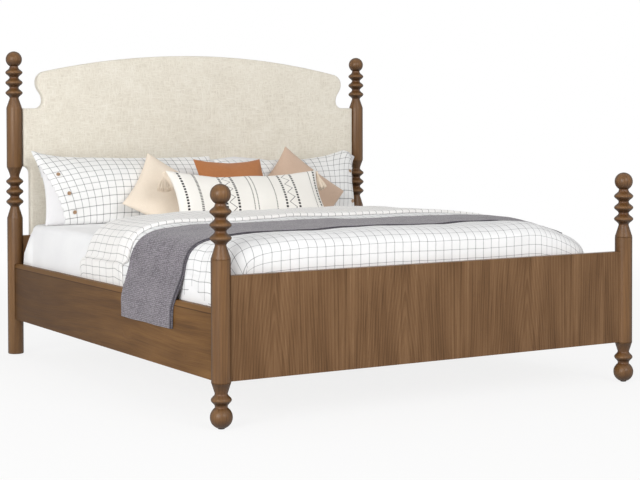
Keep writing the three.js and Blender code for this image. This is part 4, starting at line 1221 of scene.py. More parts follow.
def duvet_faces(count, width, folded):
    """Faces of the outside, the inside and the rim between, each with its kind: 1 is the cover's reverse."""
    faces, kinds, second = [], [], count * width
    for r in range(count - 1):
        for i in range(width - 1):
            corner = r * width + i
            faces.append((corner, corner + 1, corner + width + 1, corner + width))
            faces.append(tuple(second + c for c in (corner + width, corner + width + 1, corner + 1, corner)))
            kinds += [1 if r >= folded else 0, 0]
    rim = [(0, i) for i in range(width - 1)] + [(r, width - 1) for r in range(count - 1)]
    rim += [(count - 1, i) for i in range(width - 1, 0, -1)] + [(r, 0) for r in range(count - 1, 0, -1)]
    ids = [r * width + i for r, i in rim]
    faces += [(b, a, second + a, second + b) for a, b in zip(ids, ids[1:] + ids[:1])]
    return faces, kinds + [0] * len(ids)


def add_duvet():
    rows, folded = duvet_rows()
    across = np.linspace(-half_girth, half_girth, round(2 * half_girth / duvet_cells) + 1)
    outside = duvet_outside(rows, across)
    inside = np.array([on_sheet(row) for row in outside])
    inside[..., 2] = np.minimum(inside[..., 2], outside[..., 2] - least_filling)
    inside[..., 2] = np.maximum(inside[..., 2], duvet_hem)
    faces, kinds = duvet_faces(*outside.shape[:2], folded)
    points = np.vstack([outside.reshape(-1, 3), inside.reshape(-1, 3)])
    uvs = np.vstack([duvet_uvs(outside)] * 2)
    duvet = make_piece("check_duvet", slouch(points), faces, check_front, uvs=uvs)
    duvet.data.materials.append(check_back)
    duvet.data.polygons.foreach_set("material_index", kinds)
    refine(duvet)
    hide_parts("duvet")


thread_blur = 0.0004
thread_wander = 0.0022
crossing_share = 0.62
check_relief = 0.0016


def refine(piece):
    modifier = piece.modifiers.new("Finer cloth", "SUBSURF")
    modifier.levels = modifier.render_levels = 1


def pane_lines(finish, coordinate, pitch, width):
    """1 on thin lines every pitch, fading over a thread's width."""
    away = finish.math("PINGPONG", coordinate, pitch / 2)
    return finish.ease(away, width / 2 + thread_blur, width / 2 - thread_blur)


def check_finish(name, pitch, width, line_colour, light, dark):
    """White cotton with woven lines a pitch apart across and along it, darker where they cross."""
    finish = Finish(name, 0.86, **cotton_sheen)
    u, v, _ = finish.apart(finish.cloth())
    wobble = finish.noise(finish.cloth(), 22, 2)
    lean = finish.times(finish.minus(wobble, 0.5), thread_wander)
    up, down = (pane_lines(finish, finish.plus(way, lean), step, width) for way, step in zip((u, v), pitch))
    both = finish.times(finish.plus(up, down), crossing_share)
    thread = finish.noise(finish.cloth(), 900, 1)
    ink = finish.times(finish.math("MINIMUM", both, 1.0), finish.plus(finish.times(thread, 0.5), 0.65))
    base = finish.tones(finish.noise(finish.here(), 6, 3), [(0.3, dark), (0.7, light)])
    colour = finish.mix(finish.math("MINIMUM", ink, 1.0), base, srgb(*line_colour))
    crumple = finish.noise(finish.here(), 36, 3, 0.6)
    weave = finish.noise(finish.here(), 1500, 1)
    return finish.done(colour, finish.plus(crumple, finish.weigh((weave, 0.08), (both, 0.03))), check_relief)


check_front = check_finish("windowpane_cotton", (0.0405, 0.054), 0.003, (60, 60, 66), (246, 246, 246),
                           (239, 239, 239))
check_back = check_finish("windowpane_reverse", (0.037, 0.065), 0.003, (74, 72, 74), (248, 247, 245),
                          (242, 240, 237))
add_duvet()

# Folded throw
# A grey waffle-knit blanket, folded once along its length and laid across the bed in front of the fold of
# the duvet. It hangs over the left rail, and its two long free edges lie at the foot side.
throw_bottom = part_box("folded_throw")[0].z
throw_width = 0.478
throw_layer = 0.0036
throw_gap = 0.001
throw_shares = (0.272, 0.262)
throw_far_end = 0.92
throw_cells = 0.0095
throw_reach = 0.008
throw_wave = 0.006
throw_wander = 0.004
throw_slip = 0.095
throw_hang_shares = (0.05, 0.22)
throw_spread, spread_place, spread_reach = 0.035, 0.09, 0.08
throw_fall = 0.19
throw_foot_gap = 0.001
throw_climb_top = 0.03
throw_bend = [(-0.005, 0.01), (0.006, 0.036), (0.0125, 0.062)]
throw_start = 0.116
throw_smoothings, smoothed_from, smoothed_to = 4, 7, 20
step_start, step_end = 0.055, 0.012
knit_tones = [(0.2, (88, 83, 90)), (0.5, (137, 131, 138)), (0.84, (178, 172, 180))]
pocket_scale, pocket_squash, pocket_disorder, pocket_rims = 135.0, 1.25, 0.4, (0.62, 0.1)
dark_edge_reach, dark_edge_share, dark_edge_colour = (0.006, 0.003), 0.7, (66, 64, 72)
knit_relief = 0.0012
rail_outer = post_x + (post_x - rail_inner)


def throw_line(y):
    """The underside of the throw across the bed: up the rail's outside, over the shoulder and the duvet."""
    hang = -(rail_outer + rail_clearance)
    foot = throw_bottom + throw_foot_gap
    climb = [(hang, z) for z in np.linspace(foot, rail_top - throw_climb_top, 8)]
    climb += [(hang + 0.002, rail_top - 0.012)] + [(out - post_x, rail_top + up) for out, up in throw_bend]
    end = np.interp(throw_far_end, section_shares, section_lengths)
    across = np.arange(throw_start - half_girth, end, throw_cells)
    before = unslipped(across, y)
    rise = turnback_lift * smooth(before, turnback_edge - step_start, turnback_edge - step_end)
    top = duvet_surface(across, before, rise * tucked(across))
    line = np.vstack([climb, top[:, [0, 2]]])
    low, high = smoothed_from, smoothed_to
    for _ in range(throw_smoothings):
        line[low:high] = (line[low - 1:high - 1] + line[low + 1:high + 1] + 2 * line[low:high]) / 4
    return line


def throw_strip():
    """Columns of the folded blanket: each one's distance from the middle line and its lift."""
    half = throw_width / 2
    columns = round(throw_width / throw_cells)
    low = throw_layer / 2 + seat_gap
    high = low + throw_layer + throw_gap
    turn = (high - low) / 2
    strip = [(offset, low) for offset in np.linspace(-half - throw_reach, half, columns)]
    for angle in (-math.pi / 4, 0, math.pi / 4):
        strip.append((half + turn * math.cos(angle), low + turn + turn * math.sin(angle)))
    return strip + [(offset, high) for offset in np.linspace(half, -half, columns)]


def add_throw():
    mattress_length = mattress_high.y - mattress_low.y
    left, right = (mattress_low.y + share * mattress_length for share in throw_shares)
    reach = throw_width / 2 + 0.03
    stations = np.arange(left - throw_slip - reach, right + reach, 0.01)
    lines = [throw_line(y) for y in stations]
    length = length_along(*lines[len(lines) // 2].T)[-1]
    shares = np.linspace(0, 1, round(length / throw_cells) + 1)
    middle = left + (right - left) * smooth(shares, 0, 1) - throw_slip * smooth(shares, *throw_hang_shares)
    sheet = []
    for line in lines:
        run = length_along(*line.T)
        sheet.append([np.interp(shares * run[-1], run, line[:, axis]) for axis in (0, 1)])
    sheet = np.array(sheet)
    fall = np.clip(1 - shares * length / throw_fall, 0, 1)
    spread = 1 + throw_spread * np.clip(1 - np.abs(shares - spread_place) / spread_reach, 0, 1)
    points, uvs = [], []
    run = 0.0
    strip = throw_strip()
    for j, (offset, lift) in enumerate(strip):
        wander = throw_wander * np.array([noise.noise(Vector((s * 7.5, offset * 3, 2.0))) for s in shares])
        y = middle + offset * spread + wander
        x, z = (np.array([np.interp(at, stations, sheet[:, axis, k]) for k, at in enumerate(y)])
                for axis in (0, 1))
        along = np.gradient(np.column_stack([x, z]), axis=0)
        along /= np.linalg.norm(along, axis=1)[:, None]
        ripple = throw_wave * fall * (1 - math.cos(4 * math.pi * (offset / throw_width + 0.5))) / 2
        points.append(np.column_stack([x - along[:, 1] * lift - ripple, y, z + along[:, 0] * lift]))
        if j:
            run += math.hypot(offset - strip[j - 1][0], lift - strip[j - 1][1])
        uvs.append(np.column_stack([np.full(len(shares), run), shares * length]))
    count = len(shares)
    faces = [(j * count + k, j * count + k + 1, (j + 1) * count + k + 1, (j + 1) * count + k)
             for j in range(len(strip) - 1) for k in range(count - 1)]
    points, uvs = slouch(np.vstack(points)), np.vstack(uvs)
    blanket = make_piece("folded_blanket", points, faces, knit, uvs=uvs)
    thicken(blanket, throw_layer)
    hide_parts("folded_throw")


def knit_finish():
    """Grey wool yarn in small uneven pockets, darker in a band along both free edges."""
    finish = Finish("grey_waffle_knit", 0.95, Sheen_Weight=0.3, Sheen_Roughness=0.5, Specular_IOR_Level=0.2)
    u, v, _ = finish.apart(finish.cloth())
    across = finish.join(finish.times(u, pocket_squash), v, 0.0)
    pockets = {"Vector": across, "Scale": pocket_scale, "Randomness": pocket_disorder}
    pocket = finish.ease(finish.add("TexVoronoi", pockets, "Distance"), *pocket_rims)
    yarn = finish.noise(finish.cloth(), 1300, 1)
    cloud = finish.noise(finish.cloth(), 13, 3)
    colour = finish.tones(finish.weigh((pocket, 0.5), (yarn, 0.25), (cloud, 0.25)), knit_tones)
    full = 2 * throw_width + throw_reach
    # Darker in a band along both free edges.
    edge = finish.ease(finish.math("MINIMUM", u, finish.minus(full, u)), *dark_edge_reach)
    colour = finish.mix(finish.times(edge, dark_edge_share), colour, srgb(*dark_edge_colour))
    return finish.done(colour, finish.plus(pocket, finish.times(yarn, 0.35)), knit_relief)


knit = knit_finish()
add_throw()

# Pillows and cushions
# Each is two cloth panels sewn together all round and filled. They lean back against the headboard in
# layers: checked shams with a plain sleeping pillow between them, two corner-up cushions, a rust one and a
# long lumbar.
lean = math.radians(33)
board_face = padding_low.y - 0.0008
bed_top = sheet_top + 0.0002
sham_lean = math.radians(26)
room_above_sham = 0.0585
cushion_pull = 0.06
sham_bend = 0.042
cushion_fullness = 0.42
cushion_cells = 0.0125
swell_frames = 22
swell_start_share = 0.7
swell_cloth = dict(quality=6, mass=0.25, air_damping=2.0, tension_stiffness=20.0,
                   compression_stiffness=20.0, shear_stiffness=12.0, bending_stiffness=0.35,
                   use_pressure=True, uniform_pressure_force=4.0)
swell_shares = (0.08, 0.4, 0.08)
sham = dict(width=0.934, height=0.428, thickness=0.13, tuck=0.006)
left_sham = dict(sham, width=0.975, height=0.41, bend=sham_bend, pull=0.03)
right_sham = dict(sham, width=0.872, height=0.388, bend=sham_bend, pull=0.1, flare=(-0.024, 0.0455))
corner = dict(width=0.368, height=0.368, thickness=0.1, tuck=0.094, pull=0.1)
taupe = dict(corner, width=0.4, height=0.4, tuck=0.12)
rust = dict(width=0.388, height=0.379, thickness=0.09, tuck=0.006)
lumbar = dict(width=0.856, height=0.31, thickness=0.11, tuck=0.006)
sleeper = dict(width=0.66, height=0.347, thickness=0.08, tuck=0.004)
corner_layer = (sham["thickness"] + corner["thickness"]) / 2 + seat_gap
rust_layer = corner_layer + (corner["thickness"] + rust["thickness"]) / 2 + seat_gap
lumbar_layer = rust_layer + (rust["thickness"] + lumbar["thickness"]) / 2 + seat_gap
back_panel_offset = 5.0
press_softness = 0.004
belly_share = 0.1
lump_size, lump_depth = 0.16, 0.004
hang_from, flare_from = -0.6, 0.3
sleeper_lean = math.radians(14)


def sewn_panels(width, height):
    """Two panels of small cells that share their seam, as points on a unit square with a side each, with
    UVs in metres. The back panel's UVs lie well away from the front one's."""
    columns, rows = (round(size / cushion_cells) for size in (width, height))
    places, uvs, faces, ids = [], [], [], {}

    def key(i, j, side):
        seam = i in (0, columns) or j in (0, rows)
        return (i, j) if seam else (i, j, side)

    for side in (-1, 1):
        for j in range(rows + 1):
            for i in range(columns + 1):
                name = key(i, j, side)
                if name not in ids:
                    ids[name] = len(places)
                    s, t = 2 * i / columns - 1, 2 * j / rows - 1
                    seam = len(name) == 2
                    aside = back_panel_offset if side > 0 and not seam else 0
                    places.append((s, t, 0 if seam else side))
                    uvs.append((s * width / 2 + aside, t * height / 2))
        for j in range(rows):
            for i in range(columns):
                face = [ids[key(*cell, side)] for cell in ((i, j), (i + 1, j), (i + 1, j + 1), (i, j + 1))]
                faces.append(face if side < 0 else face[::-1])
    return np.array(places, float), np.array(uvs), faces


def filled_form(places, size, share=1.0):
    """Unit panels as a stuffed form that is thin at its seam, with sides drawn in between the corners."""
    s, t, side = places.T
    pull = size.get("pull", cushion_pull)
    x = size["width"] / 2 * s * (1 - pull * (1 - t * t) * s * s)
    z = size["height"] / 2 * t * (1 - pull * (1 - s * s) * t * t)
    swell = ((1 - s * s) * (1 - t * t)) ** cushion_fullness * side
    return np.column_stack([x, swell * size["thickness"] * share / 2, z])


def swell_together(pieces):
    """Blows up the sewn panels with Blender's cloth and keeps the result."""
    scene = bpy.context.scene
    for piece in pieces:
        cloth = piece.modifiers.new("Swell", "CLOTH")
        for setting, value in swell_cloth.items():
            setattr(cloth.settings, setting, value)
        cloth.settings.effector_weights.gravity = 0.0
        cloth.collision_settings.use_collision = False
        cloth.point_cache.frame_start, cloth.point_cache.frame_end = 1, swell_frames
    for step in range(1, swell_frames + 1):
        scene.frame_set(step)
    for piece in pieces:
        settle(piece)
    scene.frame_set(1)


def vertices_of(piece):
    places = np.zeros(len(piece.data.vertices) * 3, np.float32)
    piece.data.vertices.foreach_get("co", places)
    return places.reshape(-1, 3).astype(float)


def fit_form(points, size):
    """The swollen form brought to its measured width, height and thickness."""
    middle = (points.max(axis=0) + points.min(axis=0)) / 2
    span = points.max(axis=0) - points.min(axis=0)
    return (points - middle) * (np.array([size["width"], size["thickness"], size["height"]]) / span)


def eased_form(points, places, size):
    """A share of the swollen form over the plain one, its lower seam let down flat for the bed."""
    plain = filled_form(places, size)
    form = plain + np.array(swell_shares) * (points - plain)
    foot = np.flatnonzero(places[:, 1] < -0.999)
    foot = foot[np.argsort(form[foot, 0])]
    drop = np.interp(form[:, 0], form[foot, 0], form[foot, 2]) + size["height"] / 2
    form[:, 2] -= drop * np.clip(-places[:, 1], 0, 1) ** 2
    return form


def slump(points, size, top, seed):
    """Lets the filling settle: the lower half fuller, the middle bent forward and the top edge hanging. The
    top is given as shares of the half width and how far it hangs there."""
    x, y, z = points.T
    t = z / size["height"] * 2
    s = x / size["width"] * 2
    fuller = 1 + belly_share * (-t) * (1 - t * t)
    lumps = ruffle(points * (1, 0.2, 1), lump_size, lump_depth, seed) * (1 - s ** 4) * (1 - t ** 4)
    drop = np.interp(s, *top) * smooth(t, hang_from, 1.0)
    bend = size.get("bend", 0.0) * (1 - t * t)
    wider, tilted = size.get("flare", (0.0, 0.0))
    x = x + (wider + tilted * t) * smooth(s, flare_from, 1.0)
    return np.column_stack([x, y * fuller + lumps * np.sign(y) - bend, z - drop])


def lean_back(points, size, x, layer, turn):
    """Turns a form in its own plane, leans it back and stands it on the sheet, this far before the shams."""
    angle, height = (lean, sham["height"]) if layer else (sham_lean, size["height"])
    reach = size["width"] / 2 * abs(math.sin(turn)) + size["height"] / 2 * math.cos(turn) - size["tuck"]
    foot = board_face + seat_gap - room_above_sham - height * math.sin(angle) - layer / math.cos(angle)
    across, out, up = points.T
    turned = across * math.cos(turn) - up * math.sin(turn)
    up = across * math.sin(turn) + up * math.cos(turn)
    y = out * math.cos(angle) + up * math.sin(angle) + foot + reach * math.sin(angle)
    z = up * math.cos(angle) - out * math.sin(angle) + bed_top + reach * math.cos(angle)
    return press(np.column_stack([turned + x, y, z]))


def press(points):
    """Flattens a form softly where it meets the sheet and the headboard."""
    points = points.copy()
    soft_floor = bed_top + press_softness
    below = np.minimum(points[:, 2], soft_floor) - soft_floor
    pressed = bed_top + press_softness * np.exp(below / press_softness / 3)
    points[:, 2] = np.where(points[:, 2] < soft_floor, pressed, points[:, 2])
    points[:, 1] = np.minimum(points[:, 1], board_face)
    return points


linen_sheen = dict(Sheen_Weight=0.2, Sheen_Roughness=0.5, Specular_IOR_Level=0.2)
linen_thread, linen_slub = 900, 60
linen_relief = 0.0014


def linen_finish(name, light, dark):
    """Plain linen with slubs along both threads."""
    finish = Finish(name, 0.93, **linen_sheen)
    u, v, _ = finish.apart(finish.cloth())
    weave = []
    for along_u, along_v in ((linen_thread, linen_slub), (linen_slub, linen_thread)):
        place = finish.join(finish.times(u, along_u), finish.times(v, along_v), 0.0)
        weave.append(finish.noise(place, 1.0, 1))
    threads = finish.plus(*weave)
    shade = finish.weigh((threads, 0.3), (finish.noise(finish.here(), 9, 3), 0.4))
    crumple = finish.noise(finish.here(), 30, 3, 0.55)
    height = finish.plus(crumple, finish.times(threads, 0.16))
    return finish.done(finish.tones(shade, [(0.35, dark), (0.65, light)]), height, linen_relief)


def on_band(finish, place, middle, half_width):
    """1 within half a width of the middle, blurred over a thread."""
    away = finish.math("ABSOLUTE", finish.minus(place, middle))
    return finish.ease(away, half_width + thread_blur, half_width - thread_blur)


def stitched_dots(finish, u, v, place, pitch, width, height):
    beat = finish.math("PINGPONG", v, pitch / 2)
    return finish.times(on_band(finish, u, place, width / 2), on_band(finish, beat, 0.0, height / 2))


def stitched_zigzag(finish, u, v, place, period, swing, width):
    beat = finish.math("PINGPONG", v, period / 2)
    middle = finish.plus(finish.times(beat, 4 * swing / period), place - swing)
    return on_band(finish, u, middle, width / 2)


dotted_rows = (-0.375, -0.166, -0.0985, 0.1706, 0.246, 0.397)
fine_rows = (-0.0127, 0.0088, 0.1136, 0.364)
zigzag_rows = (-0.132, 0.2083)
stitched_row = -0.2965
bold_dot, fine_dot = (0.0165, 0.0125, 0.0105), (0.0085, 0.0058, 0.0058)
close_stitch = (0.0092, 0.0135, 0.005)
zigzag_stitch = (0.058, 0.019, 0.0052)
bold_thread, fine_thread, fine_share = (20, 20, 22), (70, 67, 67), 0.9


def strongest(finish, rows):
    return reduce(lambda one, other: finish.math("MAXIMUM", one, other), rows)


def embroidered_finish():
    """Cream cotton with dark stitched rows up its height: dots, zigzags and thin dotted lines."""
    finish = Finish("embroidered_cotton", 0.9, **linen_sheen)
    u, v, _ = finish.apart(finish.cloth())
    bold = [stitched_dots(finish, u, v, place, *bold_dot) for place in dotted_rows]
    bold += [stitched_dots(finish, u, v, stitched_row, *close_stitch)]
    fine = [stitched_dots(finish, u, v, place, *fine_dot) for place in fine_rows]
    fine += [stitched_zigzag(finish, u, v, place, *zigzag_stitch) for place in zigzag_rows]
    bold, fine = strongest(finish, bold), strongest(finish, fine)
    weave = finish.noise(finish.here(), 1300, 1)
    cloud = finish.noise(finish.here(), 8, 3)
    shade = finish.weigh((weave, 0.3), (cloud, 0.7))
    base = finish.tones(shade, [(0.3, (243, 240, 233)), (0.7, (250, 247, 241))])
    colour = finish.mix(finish.times(fine, fine_share), base, srgb(*fine_thread))
    colour = finish.mix(bold, colour, srgb(*bold_thread))
    crumple = finish.noise(finish.here(), 30, 3, 0.55)
    height = finish.plus(crumple, finish.weigh((weave, 0.12), (finish.plus(bold, fine), 0.3)))
    return finish.done(colour, height, linen_relief)


sham_check = check_finish("sham_check", (0.041, 0.0405), 0.0037, (44, 44, 50), (245, 245, 244),
                          (238, 238, 237))
pillow_cotton = cotton_finish("pillow_cotton", (231, 230, 231), (222, 221, 222))
beige_linen = linen_finish("beige_linen", (243, 230, 213), (232, 217, 198))
taupe_linen = linen_finish("taupe_linen", (214, 187, 166), (198, 170, 148))
rust_linen = linen_finish("rust_linen", (188, 126, 80), (168, 108, 66))
lumbar_cotton = embroidered_finish()

# How far each top edge hangs in metres, at shares of the half width.
left_sham_top = ((-1, -0.9, -0.72, 0, 0.85, 1), (0.0, 0.018, 0.032, 0.042, 0.05, 0.046))
right_sham_top = ((-1, -0.85, 0.2, 0.55, 0.84, 0.9, 1), (0.046, 0.042, 0.042, 0.028, 0.0, 0.016, 0.046))
sleeper_top = ((-1, -0.5, 0, 0.5, 1), (0.06, 0.022, 0.0, 0.022, 0.06))
even_top = ((-1, 1), (0.0, 0.0))
rust_top = ((-1, -0.6, 0, 0.6, 1), (0.0, 0.011, 0.016, 0.011, 0.0))
lumbar_top = ((-1, -0.8, -0.4, 0.05, 0.3, 0.55, 0.85, 1),
              (0.0, 0.012, 0.034, 0.026, 0.028, 0.02, 0.008, 0.0))

stuffed = [
    dict(name="sham_pillow_left", node="sham_left", size=left_sham, x=-0.4655, layer=0.0, turn=0.0,
         finish=pillow_cotton, slot="white_cotton", top=left_sham_top, seed=3.0),
    dict(name="sham_pillow_right", node="sham_right", size=right_sham, x=0.467, layer=0.0, turn=0.0,
         finish=pillow_cotton, slot="white_cotton", top=right_sham_top, seed=7.0),
    dict(name="plain_pillow", node="sleeping_pillow", size=sleeper, x=0.205, layer=None, turn=0.0,
         finish=pillow_cotton, slot="white_cotton", top=sleeper_top, seed=11.0),
    dict(name="beige_cushion", node="cushion_beige", size=corner, x=-0.35, layer=corner_layer,
         turn=math.radians(54), finish=beige_linen, slot="beige_linen", top=even_top, seed=15.0),
    dict(name="taupe_cushion", node="cushion_taupe", size=taupe, x=0.408, layer=corner_layer,
         turn=math.radians(43.5), finish=taupe_linen, slot="taupe_linen", top=even_top, seed=19.0),
    dict(name="rust_cushion", node="cushion_rust", size=rust, x=-0.016, layer=rust_layer,
         turn=math.radians(-0.9), finish=rust_linen, slot="rust_linen", top=rust_top, seed=23.0),
    dict(name="lumbar_cushion", node="cushion_lumbar", size=lumbar, x=-0.008, layer=lumbar_layer,
         turn=math.radians(-1.2), finish=lumbar_cotton, slot="cream_cotton", top=lumbar_top, seed=27.0),
]


def stand_sleeper(points, x):
    """Stands the plain pillow almost upright against the headboard, behind the shams."""
    angle = sleeper_lean
    across, out, up = points.T
    back = board_face - sleeper["thickness"] / 2 / math.cos(angle)
    rise = (sleeper["height"] / 2 - sleeper["tuck"]) * math.cos(angle)
    y = out * math.cos(angle) + up * math.sin(angle) + back
    z = up * math.cos(angle) - out * math.sin(angle) + bed_top + rise
    return press(np.column_stack([across + x, y, z]))


def place_form(points, item):
    """A form where it lies on the bed; the plain pillow has no layer before the shams."""
    if item["layer"] is None:
        return stand_sleeper(points, item["x"])
    return lean_back(points, item["size"], item["x"], item["layer"], item["turn"])


def add_stuffed():
    made = []
    for item in stuffed:
        size = item["size"]
        item["places"], uvs, faces = sewn_panels(size["width"], size["height"])
        start = filled_form(item["places"], size, swell_start_share)
        made.append(make_piece(item["name"], start, faces, item["finish"], sharp=math.pi,
                               uvs=uvs))
    swell_together(made)
    for piece, item in zip(made, stuffed):
        size = item["size"]
        points = eased_form(fit_form(vertices_of(piece), size), item["places"], size)
        item["form"] = slump(points, size, item["top"], item["seed"])
        placed = place_form(item["form"], item)
        piece.data.vertices.foreach_set("co", placed.astype(np.float32).ravel())
        piece.data.update()
        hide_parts(item["node"])
    return made


cushions = add_stuffed()
for piece in cushions:
    refine(piece)

# Sham covers
# Each sham's pillow sits in a checked cotton cover whose outer end is open, with wooden buttons beside it:
# three show on the left one, two on the right. The plain pillow shows past its edge.
cover_lift = 0.0026
cover_flare = 0.004
cover_cloth = 0.0012
left_opening = dict(top=-0.02, foot=0.1, bow=0.0, buttons=(0.13, 0.34, 0.585), inset=0.061, pulled=0.126)
right_opening = dict(top=-0.01, foot=0.082, bow=0.044, buttons=(0.16, 0.58), inset=0.02, pulled=0.0)
pull_reach, pull_start, least_pull = 0.42, 0.1, 0.15
hem_reach, hem_wave, hem_waves = 0.09, 0.4, 40
back_check_shift = 0.0235
button_radius = 0.0095
button_lift = 0.002
button_sides = 24
seat_points = 12


def hem_place(size, opening, share):
    """How far out the cover's open end lies at a share of the sham's height."""
    drawn = np.interp(share, [0, 1], [opening["foot"], opening["top"]])
    return size["width"] / 2 - (drawn + opening["bow"] * 4 * share * (1 - share))


def weave_uvs(points, uvs, way, size, opening):
    """Lets the weave run along the open end and rise to the outer corner, where the cover is pulled."""
    share = np.clip(points[:, 2] / size["height"] + 0.5, 0, 1)
    inwards = size["width"] / 2 - points[:, 0] * way
    hem = size["width"] / 2 - hem_place(size, opening, share)
    near = 1 - smooth(inwards, pull_start, pull_reach)
    uvs = uvs.copy()
    uvs[:, 0] += way * (hem - np.mean(hem)) * near
    rise = (1 - np.clip(inwards / pull_reach, 0, 1)) ** 2 * (least_pull + (1 - least_pull) * share)
    uvs[:, 1] += opening["pulled"] * rise
    return uvs


def normals_of(mesh, points):
    """The directions in which a mesh with these points faces."""
    normals = np.zeros(len(mesh.vertices) * 3, np.float32)
    flat = mesh.copy()
    flat.vertices.foreach_set("co", points.astype(np.float32).ravel())
    flat.update()
    flat.vertices.foreach_get("normal", normals)
    bpy.data.meshes.remove(flat)
    return normals.reshape(-1, 3)


def cloth_uvs(mesh):
    """The places on the cloth of a mesh's points, with the back panel brought beside the front one."""
    uvs = np.zeros((len(mesh.vertices), 2))
    for loop, data in zip(mesh.loops, mesh.uv_layers["Cloth"].data):
        uvs[loop.vertex_index] = data.uv
    aside = back_panel_offset - back_check_shift
    uvs[:, 0] = np.where(uvs[:, 0] > back_panel_offset / 2, uvs[:, 0] - aside, uvs[:, 0])
    return uvs


def add_cover(piece, item, way, opening, name):
    """The checked cover over a sham, open at the end that lies this way along X."""
    points, size, mesh = item["form"], item["size"], piece.data
    edge = hem_place(size, opening, np.clip(points[:, 2] / size["height"] + 0.5, 0, 1))
    ways = points[:, 0] * way
    wave = 1 - hem_wave + hem_wave * np.sin(points[:, 2] * hem_waves)
    flare = cover_flare * smooth(ways, edge - hem_reach, edge) * wave
    placed = place_form(points + normals_of(mesh, points) * (cover_lift + flare)[:, None], item)
    uvs = weave_uvs(points, cloth_uvs(mesh), way, size, opening)
    kept = [p for p in mesh.polygons if all(ways[v] < edge[v] for v in p.vertices)]
    used = sorted({v for p in kept for v in p.vertices})
    index = {v: i for i, v in enumerate(used)}
    faces = [[index[v] for v in p.vertices] for p in kept]
    cover = make_piece(name, placed[used], faces, sham_check, sharp=math.pi, uvs=uvs[used])
    refine(cover)
    thicken(cover, cover_cloth)
    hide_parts(item["node"])
    buttons = add_buttons(item, way, opening, f"{name}_buttons")


def button_disc():
    radius = button_radius
    rim = [(0.0, -0.001), (radius * 0.8, -0.001), (radius, 0.0006), (radius * 0.96, 0.0024),
           (radius * 0.78, 0.0026), (radius * 0.62, 0.0016), (0.0, 0.0014)]
    return lathe(rim, button_sides)


def add_buttons(item, way, opening, name):
    """Wooden buttons on the front, beside the cover's open end."""
    form, size = item["form"], item["size"]
    placed = place_form(form, item)
    points, faces = [], []
    front = item["places"][:, 2] < 0
    for share in opening["buttons"]:
        out = hem_place(size, opening, share) - opening["inset"]
        away = np.hypot(form[:, 0] - way * out, form[:, 2] - (share - 0.5) * size["height"])
        near = np.argsort(np.where(front, away, np.inf))[:seat_points]
        centre = placed[near].mean(axis=0)
        normal = np.linalg.svd(placed[near] - centre)[2][2]
        normal = normal if normal[1] < 0 else -normal
        seat = Vector(centre + normal * (cover_lift + cover_flare + button_lift))
        turn = Vector((0, 0, 1)).rotation_difference(Vector(normal)).to_matrix()
        disc, sides = button_disc()
        faces += [[i + len(points) for i in side] for side in sides]
        points += [turn @ Vector(p) + seat for p in disc]
    return make_piece(name, points, faces, button_wood)


button_tones = [(0.0, (132, 104, 76)), (0.5, (176, 146, 118)), (1.0, (214, 186, 160))]
button_wood = wood("button_wood", grain_along("x", 1.0), button_tones, 0.004, 0.5, 0.5)
add_cover(cushions[0], stuffed[0], -1, left_opening, "sham_cover_left")
add_cover(cushions[1], stuffed[1], 1, right_opening, "sham_cover_right")

# Tassels
# A cream cotton tassel is sewn to each top corner of the lumbar cushion. Its yarns are tied under a wrapped
# neck and hang as a skirt.
tassel_strands = 64
tassel_length = 0.1
tassel_drop = 0.014
tassel_neck = 0.004
tassel_bulge = 0.12
strand_radius = 0.0022
strand_sides = 5
strand_steps = 7
strand_jitter = 0.003
shorter_outside = 0.12
golden_turn = 2.399963
collar_sides = 18
collar_outline = [(0.0, -0.004), (0.0062, -0.002), (0.0082, 0.003), (0.0062, 0.008), (0.0066, 0.011),
                  (0.005, 0.0125), (0.0, 0.0125)]


def strand(path, across, beside):
    """A length of yarn along a path, with closed ends."""
    points = []
    for place in path:
        for turn in np.arange(strand_sides) * 2 * math.pi / strand_sides:
            points.append(place + (across * math.cos(turn) + beside * math.sin(turn)) * strand_radius)
    last = (strand_steps - 1) * strand_sides
    faces = ring_faces(strand_steps, strand_sides)
    return points, faces + [range(strand_sides - 1, -1, -1), range(last, last + strand_sides)]


def add_tassel(side, name, widest, outwards):
    item = stuffed[-1]
    form, size = item["form"], item["size"]
    top_corner = np.argmax(form[:, 0] * side / size["width"] + form[:, 2] / size["height"])
    root = Vector(place_form(form, item)[top_corner] - (0.0, 0.0, tassel_drop))
    fall = Vector((outwards, -0.3, -0.85)).normalized()
    across = fall.orthogonal().normalized()
    beside = fall.cross(across)
    points, faces = [], []
    for k in range(tassel_strands):
        spread = math.sqrt((k + 0.5) / tassel_strands)
        away = across * math.cos(k * golden_turn) + beside * math.sin(k * golden_turn)
        path = []
        for step in np.linspace(0, 1, strand_steps):
            wide = tassel_neck + (widest - tassel_neck) * smooth(step, tassel_bulge, 1.0)
            seeds = (Vector((k * 0.7, step * 2.0, side * 3.0 + axis * 9.0)) for axis in range(3))
            jitter = Vector([noise.noise(seed) for seed in seeds]) * (strand_jitter * step)
            down = fall * tassel_length * step * (1 - shorter_outside * spread)
            path.append(root + down + away * wide * spread + jitter)
        yarns, sides = strand(path, across, beside)
        faces += [[i + len(points) for i in face] for face in sides]
        points += yarns
    collar, sides = lathe(collar_outline, collar_sides)
    upright = Vector((0, 0, 1)).rotation_difference(fall).to_matrix()
    faces += [[i + len(points) for i in face] for face in sides]
    points += [upright @ Vector(p) + root for p in collar]
    return make_piece(name, points, faces, yarn)


yarn = linen_finish("cotton_yarn", (244, 232, 215), (226, 208, 186))
add_tassel(-1, "tassel_left", 0.039, -0.13)
add_tassel(1, "tassel_right", 0.027, 0.12)

